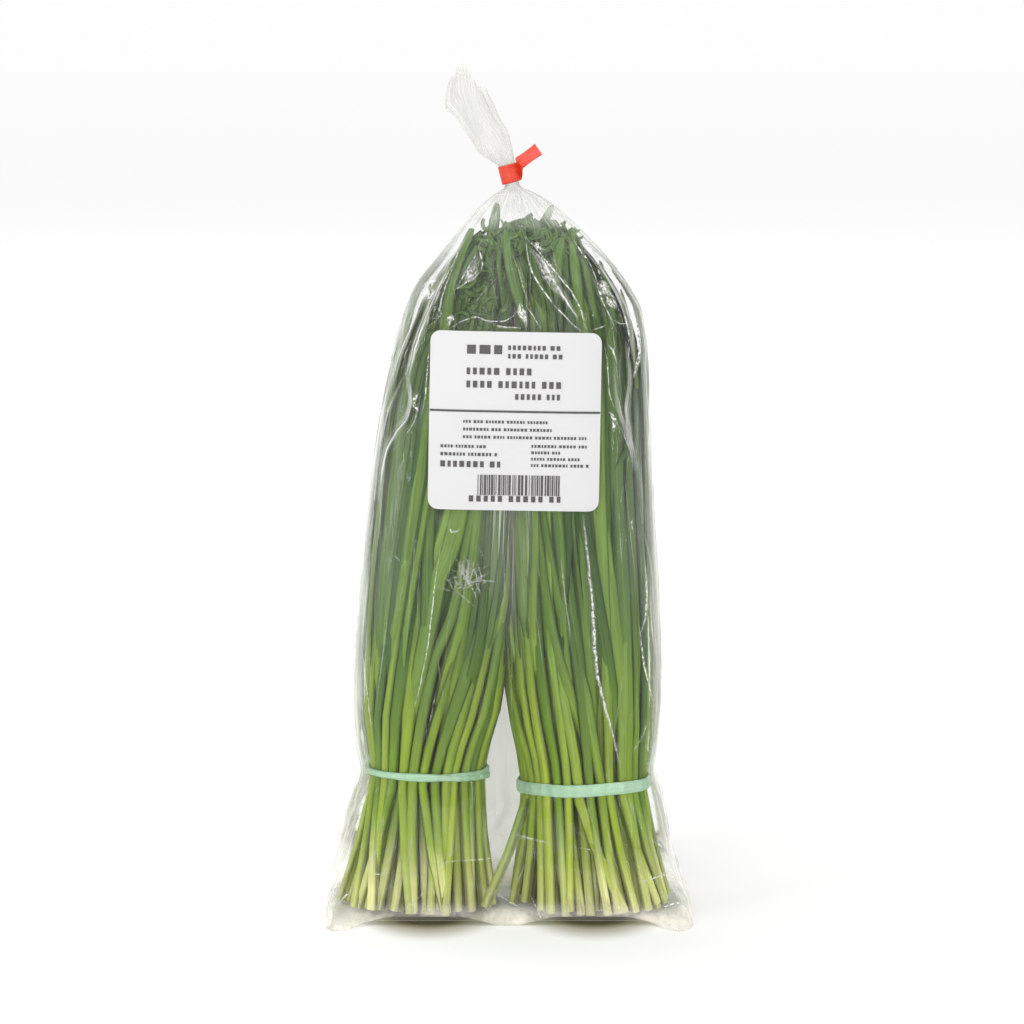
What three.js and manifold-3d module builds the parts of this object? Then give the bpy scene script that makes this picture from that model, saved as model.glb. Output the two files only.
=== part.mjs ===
// A bag of green chives, standing on its cut ends: two bunches, each tied low down with a rubber band,
// side by side in one clear film bag. The film is gathered to a neck, closed with a strip of tape, and
// carries a paper label on its front. Millimetres, +Z up, +X to the right and -Y to the front. The
// origin is on the surface that the bag stands on, in the middle of its base.

import * as THREE from "three";
import { mergeVertices } from "three/addons/utils/BufferGeometryUtils.js";
import Module from "manifold-3d";

const wasm = await Module();
wasm.setup();

const FULL_TURN = 2 * Math.PI;
const GAP = 0.3; // between pieces that touch

// --- driving sizes ---------------------------------------------------------------------------------

const FILM = 0.8; // wall of the bag, far thicker than the real film
const FLOOR = 0.8; // height of the bag's floor, inside
const LOWEST_CUT = FLOOR + 2 * GAP;
const TALLEST_TIP = 312;

// Width across and depth through a stalk: a round stem that opens into a flat blade and tapers to a tip.
const STEM = { width: 4.9, depth: 4.5 };
const BLADE = { width: 6.3, depth: 1.7, open: 130, flat: 120, taperFrom: 190, taperTo: 300, tapered: 2.4 };
const TIP = { width: 1.8, depth: 1.2 };
const STALK_PITCH = 5.1; // from one stalk to the next where the band squeezes them
const HELD = 3.2; // how far above and below the band's middle a stalk runs straight

// Each bunch: which way its neighbour lies, the height and size of its rubber band, and its outline as
// rows of height, middle x, half width, half depth.
const LEFT = {
  name: "left",
  seed: 11,
  inward: 1,
  waist: 62.5,
  bandHeight: 4.6,
  bandTilt: -0.024,
  outline: [
    [1, -41.5, 37.5, 34],
    [62.5, -37, 26.6, 25.6],
    [95, -35.3, 32, 30],
    [140, -32.9, 33.3, 32.5],
    [185, -30.8, 31.2, 32.5],
    [229, -27.5, 27.8, 31],
    [260, -24.2, 24.7, 28],
    [284, -19.4, 19.6, 22.4],
    [298, -14.7, 14.7, 16.6],
    [314, -7.3, 6.7, 9],
  ],
  looseTips: [
    { rootX: -14.6, rootY: -6.6, x: -5, y: -3, top: 320.5 },
    { rootX: -25.4, rootY: -13.2, x: -16, y: -6, top: 309.5 },
  ],
};
const RIGHT = {
  name: "right",
  seed: 29,
  inward: -1,
  waist: 57,
  bandHeight: 5.5,
  bandTilt: 0.022,
  outline: [
    [1, 38.3, 40.3, 34],
    [57, 34.5, 29.5, 28],
    [95, 33.2, 33.4, 32],
    [140, 33.2, 33.6, 33.5],
    [185, 32.1, 32.3, 33.5],
    [229, 31.1, 31.3, 32],
    [260, 30.1, 30.6, 29],
    [284, 26.2, 26.4, 23],
    [298, 20.2, 20.2, 17],
    [314, 12.6, 12, 9.4],
  ],
  looseTips: [{ rootX: 28, rootY: -8.8, x: 17, y: -4, top: 318.5 }],
};
const PRESSED = { from: 80, full: 135, flatness: 0.62 }; // where the bunches press each other flat
const HALF_SEAM = 0.35; // from the plane between the bunches to either of them

// Rings of whole stalks, as shares of the bunch's outline: the heights of the upper bends, how far below
// the tallest tip the tips end, and the pitch between stalks as a multiple of the closest.
const BLADE_RINGS = [
  { share: 0.912, bends: [106, 185, 240, 276], tipsWithin: 22, pitch: 1.04 },
  { share: 0.735, bends: [160, 250], tipsWithin: 32, pitch: 1.3 },
];

// How much the stalks of a ring differ, as shares of the outline, angles or lengths. Each is the most.
const VARIED = {
  footUp: 2,
  splayUp: 2.8,
  splay: 0.05,
  tuck: 0.02,
  tipShort: 16, // more, at the sides of the bunch
  tipIn: 0.1,
  curl: 0.25,
  drift: 0.05,
  stray: 0.12,
};
const CURLED_SHARE = 0.4;
const OUTER_REACH = 0.045; // how much further out the blades stand than their stems
const EVERY_OTHER_TUCK = 0.085; // how much further in every second blade lies

// The inner stalks show only as cut ends below the heart, which stands for their hidden length, and as
// tips above it. The heart's rows are its heights and its shares of the outline.
const STUB_RINGS = [0.55, 0.33];
const STUB_LENGTH_IN_HEART = 6;
const TIP_RINGS = [0.5, 0.28];
const TIP_PITCH = 1.8;
const TIP_ROOT = 270;
const INNER_TIP = { width: 2.4, rootWidth: 5, bend: 4, within: 12 };
const HEART = [
  [14, 0.6],
  [40, 0.62],
  [66, 0.62],
  [110, 0.62],
  [195, 0.62],
  [255, 0.62],
  [288, 0.56],
  [301, 0.3],
];
const HEART_SIDES = 12;
const TIE = { share: 0.955, height: 4, sides: 24 }; // the squeezed stalks under a band, as one mass
const STRAY_STALK = { x: -11, y: -27.5, footUp: 3, angle: Math.PI * 1.1, width: 4.2, depth: 3.9 };

// The outside of the bag: height, left x, right x, half depth, squareness of the section, wall.
const BAG = [
  [0, -83.5, 83.5, 42, 4, FILM],
  [3, -83, 83, 41.5, 4, FILM],
  [18, -81, 77.5, 39.5, 3.6, FILM],
  [30, -78, 74.2, 38, 3.3, FILM],
  [42, -74.7, 72.5, 35.5, 3.2, FILM],
  [53, -71.6, 70.3, 33, 3.1, FILM],
  [64, -67.6, 67, 32.2, 3, FILM],
  [77, -69.4, 68.5, 33.4, 3, FILM],
  [100, -71, 69.8, 35.2, 3, FILM],
  [140, -67.9, 68.5, 36.3, 3.2, FILM],
  [181, -63.9, 66.1, 36.2, 3.4, FILM],
  [226, -57.7, 63.8, 34.9, 3.5, FILM],
  [260, -50.3, 62.1, 31.9, 3.4, FILM],
  [274, -45.8, 59.8, 29.6, 3.2, FILM],
  [283, -42.1, 55.2, 27, 2.9, 0.9],
  [297, -32, 45, 21.5, 2.6, 1.1],
  [310, -21.8, 33.1, 16, 2.3, 1.1],
  [319, -14.6, 23.2, 11.6, 2.1, 1.2],
  [326, -6.5, 13.5, 7, 2, 1.8],
  [329.5, -1.6, 5.4, 3.5, 2, 2.1],
  [341, -4.6, 2.4, 3.5, 2, 2.1],
  [344, -8.6, 2.4, 4, 2, 2],
  [349, -15.5, 0, 4.8, 2, 1.8],
  [360, -22.6, -4.7, 5, 2, 1.5],
  [371, -27.9, -10.5, 4.8, 2, 1.3],
  [382, -26.5, -17.5, 4.2, 2, 1.2],
];
const BAG_SIDES = 20;
const PLEATS = { count: 7, depth: 0.13, from: 284, full: 337 }; // gathers, as a share of the neck's size
const NECK_RADIUS = 3.5;

const BAND = { wall: 0.8, sides: 32, tip: 0.07 }; // tip: how much higher its front sits
const LABEL = { width: 76, height: 79, x: 2.8, z: 227, thickness: 0.5, corner: 5, turn: -0.018 };
const TAPE = { x: 0.4, z: 335.2, width: 8.4, wall: 0.6, lean: 0.25, sides: 20 };
const TAB = { length: 12.8, width: 8, thickness: 1.2, lean: 0.8, twist: 0.7, up: 2, rooted: 1 };
const CLEAR = 2; // how far a cutting shape runs past what it cuts

// --- tools -----------------------------------------------------------------------------------------

// Repeatable random numbers from 0 to 1.
function randomFrom(seed) {
  let state = seed >>> 0;
  return () => {
    state = (state + 0x6d2b79f5) >>> 0;
    let t = state;
    t = Math.imul(t ^ (t >>> 15), t | 1);
    t ^= t + Math.imul(t ^ (t >>> 7), t | 61);
    return ((t ^ (t >>> 14)) >>> 0) / 4294967296;
  };
}

// Slope of column c of a table at row i, level where the column turns back.
function slopeAt(table, i, c) {
  if (i === 0 || i === table.length - 1) return null;
  const before = (table[i][c] - table[i - 1][c]) / (table[i][0] - table[i - 1][0]);
  const after = (table[i + 1][c] - table[i][c]) / (table[i + 1][0] - table[i][0]);
  return before * after <= 0 ? 0 : (2 * before * after) / (before + after);
}

// Every column of a table at height z, on smooth curves through its rows. Column 0 is the height.
function rowAt(table, z) {
  const last = table.length - 1;
  if (z <= table[0][0]) return table[0].slice(1);
  if (z >= table[last][0]) return table[last].slice(1);
  const i = table.findIndex((row) => row[0] > z) - 1;
  const span = table[i + 1][0] - table[i][0];
  const t = (z - table[i][0]) / span;
  return table[i].slice(1).map((from, column) => {
    const c = column + 1;
    const to = table[i + 1][c];
    const secant = (to - from) / span;
    const s0 = (slopeAt(table, i, c) ?? secant) * span;
    const s1 = (slopeAt(table, i + 1, c) ?? secant) * span;
    return (
      (1 + 2 * t) * (1 - t) ** 2 * from +
      t * (1 - t) ** 2 * s0 +
      t * t * (3 - 2 * t) * to -
      t * t * (1 - t) * s1
    );
  });
}

function smoothStep(from, to, x) {
  return THREE.MathUtils.smoothstep(x, from, to);
}

// A number between minus and plus the most.
function eitherWay(random, most) {
  return (2 * random() - 1) * most;
}

// A closed cylinder whose points are put in place one by one. place gets a point's x and y in the unit
// circle and the number of its ring, counted from the bottom.
function sweep(sides, steps, place) {
  const geometry = new THREE.CylinderGeometry(1, 1, 1, sides, steps).rotateX(Math.PI / 2);
  geometry.deleteAttribute("normal");
  geometry.deleteAttribute("uv");
  const points = geometry.getAttribute("position");
  const point = new THREE.Vector3();
  for (let i = 0; i < points.count; i++) {
    point.fromBufferAttribute(points, i);
    const placed = place(point.x, point.y, Math.round((point.z + 0.5) * steps));
    points.setXYZ(i, placed.x, placed.y, placed.z);
  }
  return geometry;
}

function solidOf(geometry) {
  geometry.deleteAttribute("normal");
  geometry.deleteAttribute("uv");
  const merged = mergeVertices(geometry, 1e-4);
  return new wasm.Manifold(
    new wasm.Mesh({
      numProp: 3,
      vertProperties: merged.getAttribute("position").array,
      triVerts: new Uint32Array(merged.index.array),
    }),
  );
}

function meshOf(solid, name, material) {
  const { numProp, numVert, vertProperties, triVerts } = solid.getMesh();
  const places = new Float32Array(numVert * 3);
  for (let i = 0; i < numVert; i++) {
    places.set(vertProperties.subarray(i * numProp, i * numProp + 3), i * 3);
  }
  const geometry = new THREE.BufferGeometry()
    .setAttribute("position", new THREE.BufferAttribute(places, 3))
    .setIndex(new THREE.BufferAttribute(triVerts, 1));
  geometry.computeVertexNormals();
  const mesh = new THREE.Mesh(geometry, material);
  mesh.name = name;
  return mesh;
}

// --- bunches ---------------------------------------------------------------------------------------

// A stalk from its cut end to its tip: the heights of its rings, and its middle and size at each.
function stalk(bunch, heights, middleAt, sizeAt) {
  return solidOf(
    sweep(4, heights.length - 1, (x, y, ring) => {
      const z = heights[ring];
      const middle = middleAt(z, ring);
      const size = sizeAt(z, ring);
      const [centre] = rowAt(bunch.outline, z);
      const outward = new THREE.Vector2(middle.x - centre, middle.y).normalize();
      const across = (x * size.width) / 2;
      const out = (y * size.depth) / 2;
      const point = new THREE.Vector3(
        middle.x + outward.y * across + outward.x * out,
        middle.y - outward.x * across + outward.y * out,
        z,
      );
      if (z > PRESSED.from) point.x = bunch.inward * Math.min(bunch.inward * point.x, -HALF_SEAM);
      return point;
    }),
  );
}

// The middle of a stalk that keeps its place in the bunch: its share of the outline and its angle.
function placeInBunch(bunch, share, angle, z) {
  const [centre, halfWidth, halfDepth] = rowAt(bunch.outline, z);
  const across = Math.cos(angle);
  const pressed = across * bunch.inward > 0 ? smoothStep(PRESSED.from, PRESSED.full, z) : 0;
  const flat = Math.abs(across) ** THREE.MathUtils.lerp(1, PRESSED.flatness, pressed);
  return new THREE.Vector2(
    centre + halfWidth * share * Math.sign(across) * flat,
    halfDepth * share * Math.sin(angle),
  );
}

// How many stalks stand in a ring at the band, when they are a multiple of the closest pitch apart.
function stalksIn(bunch, share, pitch) {
  const [, halfWidth, halfDepth] = rowAt(bunch.outline, bunch.waist);
  return Math.floor((Math.PI * (halfWidth + halfDepth) * share) / (STALK_PITCH * pitch));
}

function bladeSize(bunch, z) {
  const opened = smoothStep(bunch.waist, BLADE.open, z);
  const flattened = smoothStep(bunch.waist, BLADE.flat, z);
  const tapered = smoothStep(BLADE.taperFrom, BLADE.taperTo, z);
  return {
    width: THREE.MathUtils.lerp(STEM.width, BLADE.width, opened) - BLADE.tapered * tapered,
    depth: THREE.MathUtils.lerp(STEM.depth, BLADE.depth, flattened),
  };
}

// A whole stalk: a round stem below the band, opening above it into a flat blade that leans in at the top.
function wholeStalk(bunch, ring, number, angle, random) {
  const splay = 1 - random() * VARIED.splay;
  const drift = eitherWay(random, VARIED.drift);
  const stray = eitherWay(random, VARIED.stray);
  const curl = random() < CURLED_SHARE ? eitherWay(random, VARIED.curl) : 0;
  const tuck = (number % 2) * EVERY_OTHER_TUCK + random() * VARIED.tuck;
  const tipIn = random() * VARIED.tipIn;
  const foot = LOWEST_CUT + random() * VARIED.footUp + random() * VARIED.splayUp * ring.share ** 4;
  const tip = TALLEST_TIP - random() * (ring.tipsWithin + VARIED.tipShort * Math.abs(Math.cos(angle)));
  const heights = [foot, bunch.waist - HELD, bunch.waist + HELD, ...ring.bends, tip];
  const last = heights.length - 1;
  const middleAt = (z, i) => {
    const below = 1 - smoothStep(LOWEST_CUT, bunch.waist - HELD, z);
    const above = smoothStep(bunch.waist + HELD, BLADE.flat, z);
    const farAbove = smoothStep(bunch.waist + HELD, ring.bends[1], z);
    const atTip = i === last ? 1 : 0;
    const share = ring.share * (1 - (1 - splay) * below) + (OUTER_REACH - tuck) * above - tipIn * atTip;
    const turn = drift * (below + above) + stray * farAbove + curl * atTip;
    return placeInBunch(bunch, share, angle + turn, z);
  };
  return stalk(bunch, heights, middleAt, (z, i) => (i === last ? TIP : bladeSize(bunch, z)));
}

function wholeStalks(bunch, random) {
  return BLADE_RINGS.flatMap((ring, ringNumber) => {
    const count = stalksIn(bunch, ring.share, ring.pitch);
    return Array.from({ length: count }, (_, i) =>
      wholeStalk(bunch, ring, i, ((i + ringNumber / 2) / count) * FULL_TURN, random),
    );
  });
}

function stubs(bunch, random) {
  return STUB_RINGS.flatMap((share) => {
    const count = stalksIn(bunch, share, 1);
    return Array.from({ length: count }, (_, i) => {
      const angle = ((i + random() / 2) / count) * FULL_TURN;
      const heights = [LOWEST_CUT + random() * VARIED.footUp, HEART[0][0] + STUB_LENGTH_IN_HEART];
      return stalk(bunch, heights, (z) => placeInBunch(bunch, share, angle, z), () => STEM);
    });
  });
}

// A tip that grows out of the heart, from the middle of its root to that of its end.
function innerTip(bunch, root, end, top) {
  const heights = [TIP_ROOT, (TIP_ROOT + top) / 2 + INNER_TIP.bend, top];
  return stalk(
    bunch,
    heights,
    (z) => root.clone().lerp(end, (z - TIP_ROOT) / (top - TIP_ROOT)),
    (z) => ({
      width: z === top ? INNER_TIP.width : INNER_TIP.rootWidth,
      depth: z === top ? TIP.depth : BLADE.depth,
    }),
  );
}

function innerTips(bunch, random) {
  const hidden = TIP_RINGS.flatMap((share) => {
    const count = stalksIn(bunch, share, TIP_PITCH);
    return Array.from({ length: count }, (_, i) => {
      const angle = ((i + random() / 2) / count) * FULL_TURN;
      const top = TALLEST_TIP - random() * INNER_TIP.within;
      const root = placeInBunch(bunch, share, angle, TIP_ROOT);
      const end = placeInBunch(bunch, share * (1.2 + random() * 0.6), angle, top);
      return innerTip(bunch, root, end, top);
    });
  });
  const loose = bunch.looseTips.map(({ rootX, rootY, x, y, top }) =>
    innerTip(bunch, new THREE.Vector2(rootX, rootY), new THREE.Vector2(x, y), top),
  );
  return [...hidden, ...loose];
}

function heart(bunch) {
  return solidOf(
    sweep(HEART_SIDES, HEART.length - 1, (x, y, ring) => {
      const [z, share] = HEART[ring];
      const [centre, halfWidth, halfDepth] = rowAt(bunch.outline, z);
      return new THREE.Vector3(centre + halfWidth * share * x, halfDepth * share * y, z);
    }),
  );
}

function tie(bunch) {
  const [centre, halfWidth, halfDepth] = rowAt(bunch.outline, bunch.waist);
  return solidOf(
    sweep(TIE.sides, 1, (x, y, ring) => {
      const z = bunch.waist + (ring - 0.5) * TIE.height;
      return new THREE.Vector3(centre + halfWidth * TIE.share * x, halfDepth * TIE.share * y, z);
    }),
  );
}

// A stalk of the right bunch that has slipped sideways under the band and leans across the gap.
function strayStalk(bunch) {
  const heights = [LOWEST_CUT + STRAY_STALK.footUp, bunch.waist - HELD, bunch.waist + HELD];
  const foot = new THREE.Vector2(STRAY_STALK.x, STRAY_STALK.y);
  const held = placeInBunch(bunch, BLADE_RINGS[0].share, STRAY_STALK.angle, bunch.waist);
  return stalk(bunch, heights, (z) => (z < bunch.waist - HELD ? foot : held), () => STRAY_STALK);
}

function bunchSolid(bunch) {
  const random = randomFrom(bunch.seed);
  const pieces = [
    heart(bunch),
    tie(bunch),
    ...wholeStalks(bunch, random),
    ...stubs(bunch, random),
    ...innerTips(bunch, random),
  ];
  if (bunch === RIGHT) pieces.push(strayStalk(bunch));
  // Pockets that are shut in between the stalks are filled: the outermost surface is kept.
  return wasm.Manifold.union(pieces)
    .decompose()
    .find((body) => body.volume() > 0);
}

// --- rubber bands ----------------------------------------------------------------------------------

function bandSolid(bunch) {
  const [centre, halfWidth, halfDepth] = rowAt(bunch.outline, bunch.waist);
  const hoop = (offset, height) =>
    solidOf(
      sweep(BAND.sides, 1, (x, y, ring) => {
        const across = (halfWidth + offset) * x;
        const back = (halfDepth + offset) * y;
        const z = bunch.waist + bunch.bandTilt * across - BAND.tip * back + (ring - 0.5) * height;
        return new THREE.Vector3(centre + across, back, z);
      }),
    );
  return hoop(GAP + BAND.wall, bunch.bandHeight).subtract(hoop(GAP, bunch.bandHeight + 2 * CLEAR));
}

// --- film bag --------------------------------------------------------------------------------------

// A point of the bag's outside at height z, pulled in by inset, in the direction of unit vector (x, y).
function bagPoint(x, y, z, inset) {
  const [left, right, halfDepth, squareness] = rowAt(BAG, z);
  const centre = (left + right) / 2;
  const halfWidth = (right - left) / 2 - inset;
  const depth = halfDepth - inset;
  const angle = Math.atan2(y, x);
  const round = (value, size) => size * Math.sign(value) * Math.abs(value) ** (2 / squareness);
  const gathered = smoothStep(PLEATS.from, PLEATS.full, z);
  const pleat = 1 - PLEATS.depth * gathered * (0.5 + 0.5 * Math.cos(PLEATS.count * angle));
  return new THREE.Vector3(
    centre + round(Math.cos(angle), halfWidth) * pleat,
    round(Math.sin(angle), depth) * pleat,
    z,
  );
}

// The bag's outer shape, pulled in by inset(wall), as a solid.
function bagShape(heights, inset) {
  return solidOf(
    sweep(BAG_SIDES, heights.length - 1, (x, y, ring) => {
      const z = heights[ring];
      const [left, right, , , wall] = rowAt(BAG, z);
      if (x === 0 && y === 0) return new THREE.Vector3((left + right) / 2, 0, z);
      return bagPoint(x, y, z, inset(wall));
    }),
  );
}

function bagSolid() {
  const heights = BAG.map((row) => row[0]);
  const mouth = heights[heights.length - 1];
  const outside = bagShape(heights, () => 0);
  const inside = bagShape([FLOOR, ...heights.slice(1, -1), mouth + CLEAR], (wall) => wall);
  return outside.subtract(inside);
}

// --- label and tape --------------------------------------------------------------------------------

function roundedRectangle(width, height, radius) {
  const shape = new THREE.Shape();
  const [w, h] = [width / 2, height / 2];
  shape.moveTo(-w + radius, -h);
  shape.lineTo(w - radius, -h);
  shape.absarc(w - radius, -h + radius, radius, -Math.PI / 2, 0);
  shape.lineTo(w, h - radius);
  shape.absarc(w - radius, h - radius, radius, 0, Math.PI / 2);
  shape.lineTo(-w + radius, h);
  shape.absarc(-w + radius, h - radius, radius, Math.PI / 2, Math.PI);
  shape.lineTo(-w, -h + radius);
  shape.absarc(-w + radius, -h + radius, radius, Math.PI, Math.PI * 1.5);
  return shape;
}

// A patch of paper that follows the front of the bag.
function labelSolid() {
  const heights = BAG.map((row) => row[0]);
  const wrap = bagShape(heights, () => -GAP - LABEL.thickness).subtract(bagShape(heights, () => -GAP));
  const outline = roundedRectangle(LABEL.width, LABEL.height, LABEL.corner);
  const cutter = new THREE.ExtrudeGeometry(outline, { depth: 60, bevelEnabled: false, curveSegments: 4 })
    .rotateX(Math.PI / 2)
    .rotateY(-LABEL.turn)
    .translate(LABEL.x, 0, LABEL.z);
  return wrap.intersect(solidOf(cutter));
}

// A strip wound once round the neck, with its free end standing off to the right.
function tapeSolid() {
  const inner = NECK_RADIUS + GAP;
  const outer = inner + TAPE.wall;
  const cylinder = (radius, height) =>
    solidOf(
      new THREE.CylinderGeometry(radius, radius, height, TAPE.sides)
        .rotateX(Math.PI / 2)
        .rotateY(-TAPE.lean),
    );
  const tab = new THREE.BoxGeometry(TAB.thickness, TAB.width, TAB.length)
    .translate(0, 0, TAB.length / 2 - TAB.rooted)
    .rotateZ(TAB.twist)
    .rotateY(TAB.lean)
    .translate(outer, 0, TAB.up);
  return cylinder(outer, TAPE.width)
    .add(solidOf(tab))
    .subtract(cylinder(inner, TAPE.width + 2 * CLEAR))
    .translate([TAPE.x, 0, TAPE.z]);
}

// --- materials and assembly ------------------------------------------------------------------------

const materials = {
  chives: new THREE.MeshStandardMaterial({ color: 0x5f8f3a, roughness: 0.5 }),
  rubber: new THREE.MeshStandardMaterial({ color: 0x9fd4b8, roughness: 0.55 }),
  film: new THREE.MeshStandardMaterial({
    color: 0xf4f6f6,
    roughness: 0.12,
    transparent: true,
    opacity: 0.25,
  }),
  paper: new THREE.MeshStandardMaterial({ color: 0xf5f5f5, roughness: 0.6 }),
  tape: new THREE.MeshStandardMaterial({ color: 0xf0432a, roughness: 0.4 }),
};

const bag = new THREE.Group();
for (const bunch of [LEFT, RIGHT]) {
  bag.add(meshOf(bunchSolid(bunch), `chives_${bunch.name}`, materials.chives));
  bag.add(meshOf(bandSolid(bunch), `rubber_band_${bunch.name}`, materials.rubber));
}
bag.add(meshOf(bagSolid(), "film_bag", materials.film));
bag.add(meshOf(labelSolid(), "label", materials.paper));
bag.add(meshOf(tapeSolid(), "closing_tape", materials.tape));

export default bag;
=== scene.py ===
"""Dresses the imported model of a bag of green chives: two banded bunches in one clear film bag.

The shapes are worked out in millimetres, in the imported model's own frame, and written in metres.
"""

import math

import bmesh
import bpy
import numpy as np
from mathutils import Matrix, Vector


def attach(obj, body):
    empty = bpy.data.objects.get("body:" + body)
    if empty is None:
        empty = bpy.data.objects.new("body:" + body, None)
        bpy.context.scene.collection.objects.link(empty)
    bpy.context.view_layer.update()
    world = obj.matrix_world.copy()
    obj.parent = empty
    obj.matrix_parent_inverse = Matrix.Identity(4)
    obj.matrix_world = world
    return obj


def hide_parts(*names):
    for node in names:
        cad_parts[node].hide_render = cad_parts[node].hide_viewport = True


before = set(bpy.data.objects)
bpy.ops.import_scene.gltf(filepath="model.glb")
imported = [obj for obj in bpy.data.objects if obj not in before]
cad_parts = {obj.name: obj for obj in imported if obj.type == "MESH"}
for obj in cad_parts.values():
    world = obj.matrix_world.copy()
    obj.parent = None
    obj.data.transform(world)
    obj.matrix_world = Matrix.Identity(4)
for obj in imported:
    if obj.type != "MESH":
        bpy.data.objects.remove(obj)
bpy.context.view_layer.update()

bl_info = {
    "name": "Bagged chives",
    "version": (1, 0, 0),
    "blender": (4, 5, 0),
    "location": "3D View > Sidebar > Chives",
    "description": "Makes two banded bunches of chives in a clear film bag with a label and a taped neck",
    "category": "Add Mesh",
}

MM = 0.001
FULL_TURN = 2 * math.pi

# --- the outlines, in millimetres ------------------------------------------------------------------


class Outline:
    """Smooth curves through rows of numbers, the first of which is the height."""

    def __init__(self, rows):
        table = np.array(rows, float)
        self.heights = table[:, 0]
        self.columns = table[:, 1:]
        secants = np.diff(self.columns, axis=0) / np.diff(self.heights)[:, None]
        before, after = secants[:-1], secants[1:]
        same_way = before * after > 0
        total = np.where(same_way, before + after, 1)
        inner = np.where(same_way, 2 * before * after / total, 0)
        self.slopes = np.vstack([secants[:1], inner, secants[-1:]])

    def at(self, z):
        """Every column at the heights z, level where a column turns back."""
        z = np.clip(z, self.heights[0], self.heights[-1])
        i = np.clip(np.searchsorted(self.heights, z, "right") - 1, 0, len(self.heights) - 2)
        span = (self.heights[i + 1] - self.heights[i])[..., None]
        t = (z - self.heights[i])[..., None] / span
        values = (
            (1 + 2 * t) * (1 - t) ** 2 * self.columns[i]
            + t * (1 - t) ** 2 * span * self.slopes[i]
            + t * t * (3 - 2 * t) * self.columns[i + 1]
            - t * t * (1 - t) * span * self.slopes[i + 1]
        )
        return np.moveaxis(values, -1, 0)


# Height, middle x, half width and half depth of each bunch.
BUNCHES = {
    "left": {
        "seed": 5,
        "inward": 1,
        "lean": 0.6,
        "waist": 62.5,
        "outline": Outline(
            [
                (1, -41.8, 38, 34),
                (62.5, -37, 26.6, 25.6),
                (95, -34.8, 31.6, 30),
                (140, -32, 32, 32.5),
                (185, -30, 30.2, 32.5),
                (229, -27.3, 27.6, 31),
                (260, -23.4, 23.8, 28),
                (274, -20, 20.4, 25),
                (284, -15.6, 15.8, 21),
                (298, -12.2, 12.4, 16),
                (314, -6.4, 6, 9),
            ]
        ),
    },
    "right": {
        "seed": 8,
        "inward": -1,
        "lean": -0.28,
        "waist": 57,
        "outline": Outline(
            [
                (1, 38.3, 40.3, 34),
                (57, 34.5, 29.5, 28),
                (95, 32.8, 33, 32),
                (140, 32, 32.3, 33.5),
                (185, 30.9, 31, 33.5),
                (229, 30.4, 30.6, 32),
                (260, 29.4, 29.6, 29),
                (284, 26.2, 26.4, 23),
                (298, 19.6, 19.4, 17),
                (306, 15.4, 15, 13),
                (314, 12.6, 12, 9.4),
            ]
        ),
    },
}

# Height, left x, right x, half depth and squareness of the film bag's sections.
BAG = Outline(
    [
        (0, -83.5, 83.5, 42, 8),
        (3, -83, 83, 41.5, 7.5),
        (18, -81, 77.5, 39.5, 4.4),
        (30, -78, 74.2, 38, 3.3),
        (42, -74.7, 72.5, 35.5, 3.2),
        (53, -71.6, 70.3, 33, 3.1),
        (64, -67.6, 67, 32.2, 3),
        (77, -69.4, 68.5, 33.4, 3),
        (100, -71, 69.8, 35.2, 3),
        (140, -67.9, 68.5, 36.3, 3.2),
        (181, -63.9, 66.1, 36.2, 3.4),
        (226, -57.7, 63.8, 34.9, 3.5),
        (260, -50.3, 62.1, 31.9, 3.4),
        (274, -45.8, 59.8, 29.6, 3.2),
        (283, -42.1, 55.2, 27, 2.9),
        (297, -32, 45, 21.5, 2.6),
        (310, -21.8, 33.1, 16, 2.3),
        (319, -14.6, 23.2, 11.6, 2.1),
        (326, -6.5, 13.5, 7, 2),
        (329.5, -1.6, 5.4, 3.5, 2),
        (338, -3.8, 3.2, 3.5, 2),
        (341, -8.4, 2.8, 3.7, 2),
        (344, -13, 2.6, 4.2, 2),
        (349, -16.8, 1.4, 4.8, 2),
        (355, -20.8, -0.6, 5, 2),
        (362, -25, -3.6, 5, 2),
        (373, -29.4, -6.8, 4.8, 2),
        (382, -27.8, -10.5, 4.2, 2),
    ]
)
MOUTH = 382  # height of the bag's open end
NECK_TOP = 341  # where the film leaves the tape

LOWEST_CUT = 1.4  # height of the lowest cut ends
TALLEST_TIP = 312  # height of the tallest leaves' tips
PRESSED = {"from": 66, "full": 135, "flatness": 0.62}  # where the bunches press each other flat
HELD = 3.2  # how far above and below a band's middle a stalk runs straight
NECK = {"x": 0.4, "z": 335.2, "lean": 0.25, "radius": 3.5}  # where the tape holds the film together

LINE_STEP = 1.5  # from one point of a drawn line to the next


def smooth_step(low, high, x):
    """0 below low, 1 above high and a smooth step from one to the other."""
    t = np.clip((x - low) / (high - low), 0, 1)
    return t * t * (3 - 2 * t)


def place_in_bunch(bunch, share, angle, z):
    """Points that keep one share of a bunch's outline and one angle round its middle, at the heights z."""
    centre, half_width, half_depth = bunch["outline"].at(z)
    across = np.cos(angle)
    pressed = np.where(across * bunch["inward"] > 0, smooth_step(PRESSED["from"], PRESSED["full"], z), 0)
    flat = np.abs(across) ** (1 + (PRESSED["flatness"] - 1) * pressed)
    x = centre + half_width * share * np.sign(across) * flat
    return np.stack([x, half_depth * share * np.sin(angle), z * np.ones_like(x)], -1)


def way_along(line):
    """How far along a flat line each of its points lies."""
    return np.concatenate([[0], np.hypot(*np.diff(line, axis=0).T).cumsum()])


def along_line(corners):
    """Points every so often along a smooth line through a few corners, and how far along each lies."""
    corners = np.array(corners, float)
    travelled = way_along(corners)
    curve = Outline(np.column_stack([travelled, corners]))
    steps = np.linspace(0, travelled[-1], max(4, int(travelled[-1] / LINE_STEP)))
    return np.stack(curve.at(steps), -1), steps


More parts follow.
